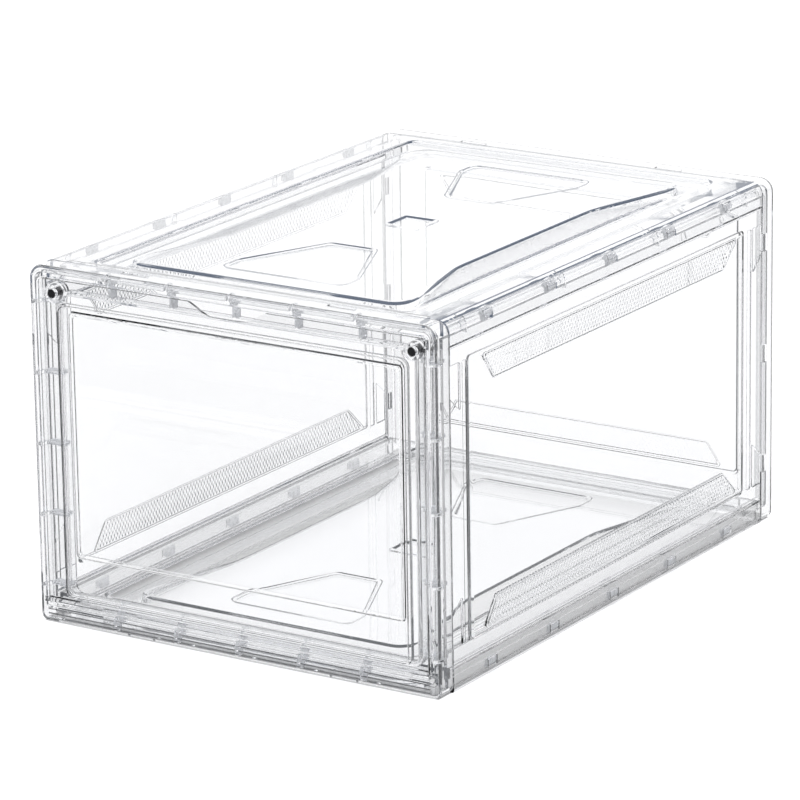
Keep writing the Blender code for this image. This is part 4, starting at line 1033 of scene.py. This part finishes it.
# ---------------------------------------------------------------- materials
class Nodes:
    """Short hand for the node tree of a material or world."""
    def __init__(self, owner, output_kind="ShaderNodeOutputMaterial"):
        owner.use_nodes = True
        self.tree = owner.node_tree
        self.tree.nodes.clear()
        self.output = self.add(output_kind)

    def feed(self, socket, value):
        """Links a socket or a node's first output; sets any other value."""
        if isinstance(value, bpy.types.Node):
            value = value.outputs[0]
        if isinstance(value, bpy.types.NodeSocket):
            self.tree.links.new(value, socket)
        else:
            socket.default_value = value

    def add(self, kind, *inputs, **values):
        """Adds a node: named inputs or properties first, then inputs in their order."""
        node = self.tree.nodes.new(kind)
        for key, value in values.items():
            if key in node.inputs:
                self.feed(node.inputs[key], value)
            else:
                setattr(node, key, value)
        for i, value in enumerate(inputs):
            self.feed(node.inputs[i], value)
        return node

    def show(self, surface):
        self.feed(self.output.inputs["Surface"], surface)

    def noise(self, vector, scale, detail, **more):
        node = self.add("ShaderNodeTexNoise", Vector=vector, Scale=scale, Detail=detail, **more)
        return node.outputs["Fac"]

    def bump(self, height, strength, distance, **more):
        return self.add("ShaderNodeBump", Height=height, Strength=strength, Distance=distance,
                        **more)

    def map_range(self, value, from_min=0.0, from_max=1.0, to_min=0.0, to_max=1.0, **more):
        return self.add("ShaderNodeMapRange", Value=value, **more,
                        **{"From Min": from_min, "From Max": from_max,
                           "To Min": to_min, "To Max": to_max})

    def smooth_range(self, *args):
        return self.map_range(*args, interpolation_type="SMOOTHSTEP")

    def mix_shader(self, factor, first, second):
        return self.add("ShaderNodeMixShader", factor, first, second)

    def math(self, operation, *inputs):
        return self.add("ShaderNodeMath", *inputs, operation=operation)

    def mix(self, data_type, factor, a, b):
        node = self.add("ShaderNodeMix", data_type=data_type)
        for key, value in (("Factor", factor), ("A", a), ("B", b)):
            self.feed(node.inputs[key], value)
        return node.outputs["Result"]

    def scale(self, vector, factor):
        node = self.add("ShaderNodeVectorMath", vector, operation="SCALE")
        self.feed(node.inputs["Scale"], factor)
        return node

    def ramp(self, source, *stops):
        """A colour ramp of two (position, colour) stops."""
        node = self.add("ShaderNodeValToRGB", source)
        for element, (position, colour) in zip(node.color_ramp.elements, stops):
            element.position = position
            element.color = (*colour, 1)
        return node


IOR = 1.49
GRAIN_SCALE = 900.0      # cells of the satin faces


def object_coords(nodes):
    return nodes.add("ShaderNodeTexCoord").outputs["Object"]


def clear_plastic(name, tint, rough, grain_depth, seed, painted_line_shade, last_depth):
    """Moulded clear sheet. Rays deeper than last_depth end in a dim glow of a fixed colour, painted
    shade that stands in for the dark lines along its edges.
    """
    mat = bpy.data.materials.new(name)
    nodes = Nodes(mat)
    place = nodes.add("ShaderNodeMapping", Vector=object_coords(nodes),
                      Location=(seed, seed * 0.7, -seed * 0.4))
    # slow ripples of the moulding, and a much finer orange peel
    flow = nodes.noise(place, scale=9.0, detail=2.0, Roughness=0.4)
    peel = nodes.noise(place, scale=160.0, detail=1.0)
    ripples = nodes.bump(flow, strength=0.10, distance=0.0012)
    normal = nodes.bump(peel, strength=0.05, distance=0.00004, Normal=ripples)
    # the colour drifts a little through the wall
    drift = nodes.noise(place, scale=6.0, detail=1.0)
    colour = nodes.ramp(drift, (0.35, tuple(c * 0.992 for c in tint)), (0.65, tint))
    if grain_depth:
        cells = nodes.add("ShaderNodeTexVoronoi", Vector=place, Scale=GRAIN_SCALE)
        normal = nodes.bump(cells.outputs["Distance"], strength=0.8, distance=grain_depth,
                            Normal=normal)
    haze = nodes.noise(place, scale=40.0, detail=3.0)
    roughness = nodes.map_range(haze, from_min=0.45, from_max=0.75,
                                to_min=rough, to_max=rough + 0.012)
    glass = nodes.add("ShaderNodeBsdfGlass", IOR=IOR, Color=colour, Normal=normal,
                      Roughness=roughness)
    # lamps shine through it
    path = nodes.add("ShaderNodeLightPath")
    either = nodes.math("MAXIMUM", path.outputs["Is Shadow Ray"], path.outputs["Is Diffuse Ray"])
    thin = nodes.add("ShaderNodeBsdfTransparent", Color=(0.962, 0.963, 0.965, 1))
    sheet = nodes.mix_shader(either, glass, thin)
    # painted shade: rays deeper than last_depth end in a dim blue-grey glow that stands in for the
    # dark lines along the edges
    painted_line_mask = nodes.math("GREATER_THAN", path.outputs["Ray Depth"], last_depth)
    painted_line_emission = nodes.add("ShaderNodeEmission", Strength=1.0, Color=(*painted_line_shade, 1))
    nodes.show(nodes.mix_shader(painted_line_mask, sheet, painted_line_emission))
    return mat


def rib_glint_white(name, seed):
    """The ribs: a white diffuse body, painted highlight for the light the clear ribs catch, under a
    glinting, uneven skin.
    """
    painted_glint_colour = (0.95, 0.96, 0.98, 1)
    mat = bpy.data.materials.new(name)
    nodes = Nodes(mat)
    place = nodes.add("ShaderNodeMapping", Vector=object_coords(nodes),
                      Location=(seed, -seed, seed * 0.5))
    bump = nodes.bump(nodes.noise(place, scale=700.0, detail=3.0), strength=0.9, distance=0.0004)
    glint_translucent = nodes.add("ShaderNodeBsdfTranslucent", Color=painted_glint_colour)
    skin = nodes.add("ShaderNodeBsdfDiffuse", Color=painted_glint_colour, Normal=bump)
    body = nodes.mix_shader(0.5, skin, glint_translucent)
    glass = nodes.add("ShaderNodeBsdfGlass", IOR=IOR, Roughness=0.08,
                      Color=(0.985, 0.99, 0.995, 1), Normal=bump)
    # patches where the white body shows more: painted glints
    glint_patches = nodes.noise(place, scale=320.0, detail=2.0)
    cover = nodes.map_range(glint_patches, from_min=0.35, from_max=0.60, to_min=0.35, to_max=0.95)
    nodes.show(nodes.mix_shader(cover, glass, body))
    return mat


def ferrite(name):
    """Dull black magnet with a fine grain."""
    mat = bpy.data.materials.new(name)
    nodes = Nodes(mat)
    coords = object_coords(nodes)
    grain = nodes.noise(coords, scale=2600.0, detail=3.0)
    blotches = nodes.noise(coords, scale=400.0, detail=2.0)
    colour = nodes.ramp(blotches, (0.3, (0.004, 0.004, 0.005)), (0.7, (0.012, 0.012, 0.014)))
    nodes.show(nodes.add("ShaderNodeBsdfPrincipled", Metallic=0.15,
                         Roughness=nodes.map_range(grain, to_min=0.35, to_max=0.62),
                         Normal=nodes.bump(grain, strength=0.4, distance=0.00004),
                         **{"Base Color": colour, "Specular IOR Level": 0.3}))
    return mat


# greyer tints of the satin faces: on the base, painted shade for the shade its skirt falls in near
# the floor; on the top, a grey on the textured notch faces
SATIN_AND_SHADE_TINT = {"top": (0.92, 0.921, 0.924), "base": (0.87, 0.87, 0.867)}
OTHER_SATIN_TINT = (0.965, 0.97, 0.98)


def panel_materials(kind, seed):
    """The four materials of a panel, in the order of its slots."""
    # the fixed colour that rays too deep in the sheet end in is painted shade for the dark edge
    # lines, bluer on the top
    if kind == "top":
        body = {"seed": seed, "painted_line_shade": (0.125, 0.155, 0.215), "last_depth": 11.5}
    else:
        body = {"seed": seed, "painted_line_shade": (0.165, 0.172, 0.182), "last_depth": 19.5}
    satin_rough, satin_depth = (0.045, 0.00006) if kind == "base" else (0.10, 0.00020)
    return (clear_plastic(kind + "_polished", (0.989, 0.990, 0.9915), rough=0.0,
                          grain_depth=None, **body),
            clear_plastic(kind + "_diamond_texture", (0.978, 0.980, 0.982), rough=0.03,
                          grain_depth=None, **body),
            clear_plastic(kind + "_satin_and_shade", SATIN_AND_SHADE_TINT.get(kind, OTHER_SATIN_TINT),
                          rough=satin_rough, grain_depth=satin_depth, **body),
            rib_glint_white(kind + "_rib_painted_glint", seed))


PANEL_MATS = {kind: panel_materials(kind, i * 0.37)
              for i, kind in enumerate(("top", "base", "side", "back", "frame", "door"))}
MAGNET = ferrite("ferrite")


# ---------------------------------------------------------------- assembly
def attach(obj, body, node):
    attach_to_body(obj, body)
    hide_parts(node)


def dress(obj, kind, body, node):
    fill_slots(obj)
    for i, mat in enumerate(PANEL_MATS[kind]):   # (clearing the list would lose every face's slot)
        obj.data.materials[i] = mat
    attach(obj, body, node)


dress(build_base(), "base", "box", "base_panel")
dress(build_top(), "top", "box", "top_panel")
dress(build_side("left_side_shell", -1), "side", "box", "left_side_panel")
dress(build_side("right_side_shell", 1), "side", "box", "right_side_panel")
dress(build_back(), "back", "box", "back_panel")
dress(build_front_frame(), "frame", "box", "front_frame")
dress(build_door(), "door", "door", "door_panel")
for side, word in ((-1, "left"), (1, "right")):
    for body, magnet_y, node in (("door", DOOR_MAG_Y, "door_magnet_" + word),
                                 ("box", FRAME_MAG_Y, "frame_magnet_" + word)):
        magnet = build_magnet(node + "_disc", side * MAG_X, magnet_y)
        magnet.data.materials.append(MAGNET)
        attach(magnet, body, node)


# ------------------------------------------------------------ floor and light
FORWARD, SIDEWAYS = 0.72, 0.30       # camera-space z of rays that see the lit, the unlit half
FLOOR_HALF = 30.0
FLOOR_GLOW = 0.19
BACKDROP = 1.09
SOFTBOX = 1.22
DARK = (0.052, 0.053, 0.057)


def forward_factor(nodes, direction):
    """1 where a ray heads away from the camera, 0 where it comes back, in camera space."""
    parts = nodes.add("ShaderNodeSeparateXYZ", direction)
    return nodes.smooth_range(parts.outputs["Z"], SIDEWAYS, FORWARD)


def contact_shade(nodes, position):
    """A soft contact shade along the inside of the footprint; 1 is unshaded."""
    place = nodes.add("ShaderNodeSeparateXYZ", position)
    outside = [nodes.math("SUBTRACT", nodes.math("ABSOLUTE", place.outputs[axis]), half)
               for axis, half in (("X", HALF_X), ("Y", HALF_Y))]
    reach = nodes.math("MAXIMUM", *outside)
    # distances from the footprint's edge, then the shade at each
    wide = nodes.smooth_range(reach, -0.065, -0.006, 1.0, 0.68)
    narrow = nodes.smooth_range(reach, -0.014, -0.004, 1.0, 0.45)
    inner = nodes.math("MULTIPLY", wide, narrow)
    past_edge = nodes.smooth_range(reach, -0.0028, -0.0012, 0.0, 1.0)
    return nodes.mix("FLOAT", past_edge, inner, 1.0)


def floor_material():
    mat = bpy.data.materials.new("pale_floor")
    nodes = Nodes(mat)
    geometry = nodes.add("ShaderNodeNewGeometry")
    position = geometry.outputs["Position"]
    tone = nodes.ramp(nodes.noise(position, scale=30.0, detail=2.0),
                      (0.3, (0.895, 0.895, 0.895)), (0.7, (0.905, 0.905, 0.905)))
    shade = contact_shade(nodes, position)
    white = nodes.add("ShaderNodeBsdfDiffuse", Color=nodes.scale(tone, shade))
    glow = nodes.add("ShaderNodeEmission", Color=(FLOOR_GLOW, FLOOR_GLOW, FLOOR_GLOW, 1),
                     Strength=nodes.math("MULTIPLY", shade, shade))
    pale = nodes.add("ShaderNodeAddShader", white, glow)
    # rays that the plastic throws back towards the camera find the unlit half of the studio
    to_camera = nodes.add("ShaderNodeVectorTransform", geometry.outputs["Incoming"],
                          vector_type="VECTOR", convert_from="WORLD", convert_to="CAMERA")
    lit = forward_factor(nodes, nodes.scale(to_camera, -1.0))
    unlit = nodes.add("ShaderNodeBsdfDiffuse", Color=(0.12, 0.121, 0.126, 1))
    nodes.show(nodes.mix_shader(lit, unlit, pale))
    return mat


def build_floor():
    s = FLOOR_HALF
    mesh = bpy.data.meshes.new("studio_floor")
    mesh.from_pydata([(-s, -s, 0), (s, -s, 0), (s, s, 0), (-s, s, 0)], [], [(0, 1, 2, 3)])
    floor = bpy.data.objects.new("studio_floor", mesh)
    bpy.context.scene.collection.objects.link(floor)
    floor.location.z = -0.0001
    mesh.materials.append(floor_material())


def build_world():
    """A bright backdrop ahead, a dark room behind the camera, a softbox overhead."""
    world = bpy.data.worlds.new("studio")
    bpy.context.scene.world = world
    nodes = Nodes(world, "ShaderNodeOutputWorld")
    coords = nodes.add("ShaderNodeTexCoord")
    parts = nodes.add("ShaderNodeSeparateXYZ", coords.outputs["Generated"])
    height = nodes.map_range(parts.outputs["Z"], from_min=-1.0, from_max=1.0)

    def at(elevation):
        """The height at an elevation in degrees."""
        return (math.sin(math.radians(elevation)) + 1) / 2

    ahead = forward_factor(nodes, coords.outputs["Camera"])
    backdrop = nodes.ramp(height, (0.0, (BACKDROP,) * 3), (1.0, (BACKDROP * 1.15,) * 3))
    room = nodes.mix("RGBA", ahead, (*DARK, 1), backdrop)
    overhead = nodes.smooth_range(height, at(7.5), at(17.5))
    sky = nodes.mix("RGBA", overhead, room, (SOFTBOX, SOFTBOX, SOFTBOX * 1.01, 1))
    nodes.show(nodes.add("ShaderNodeBackground", Strength=1.0, Color=sky))


def build_camera():
    cam = bpy.data.cameras.new("camera")
    cam.sensor_width = 36.0
    cam.lens = 224.06
    cam.clip_end = 200.0
    camera = bpy.data.objects.new("camera", cam)
    bpy.context.scene.collection.objects.link(camera)
    look = Vector((-0.52093, 0.80482, -0.28443)).normalized()
    camera.matrix_world = (Matrix.Translation((1.448, -2.252, 0.893))
                           @ look.to_track_quat("-Z", "Y").to_matrix().to_4x4()
                           @ Matrix.Rotation(math.radians(-0.91), 4, "Z"))
    bpy.context.scene.camera = camera


def set_render():
    """Enough bounces to see through every wall of the box."""
    scene = bpy.context.scene
    scene.view_settings.view_transform = "Standard"
    scene.cycles.max_bounces = 32
    scene.cycles.transmission_bounces = 32
    scene.cycles.glossy_bounces = 16
    scene.cycles.diffuse_bounces = 4
    scene.cycles.transparent_max_bounces = 32
    scene.cycles.caustics_reflective = True
    scene.cycles.caustics_refractive = True


build_floor()
build_world()
build_camera()
set_render()
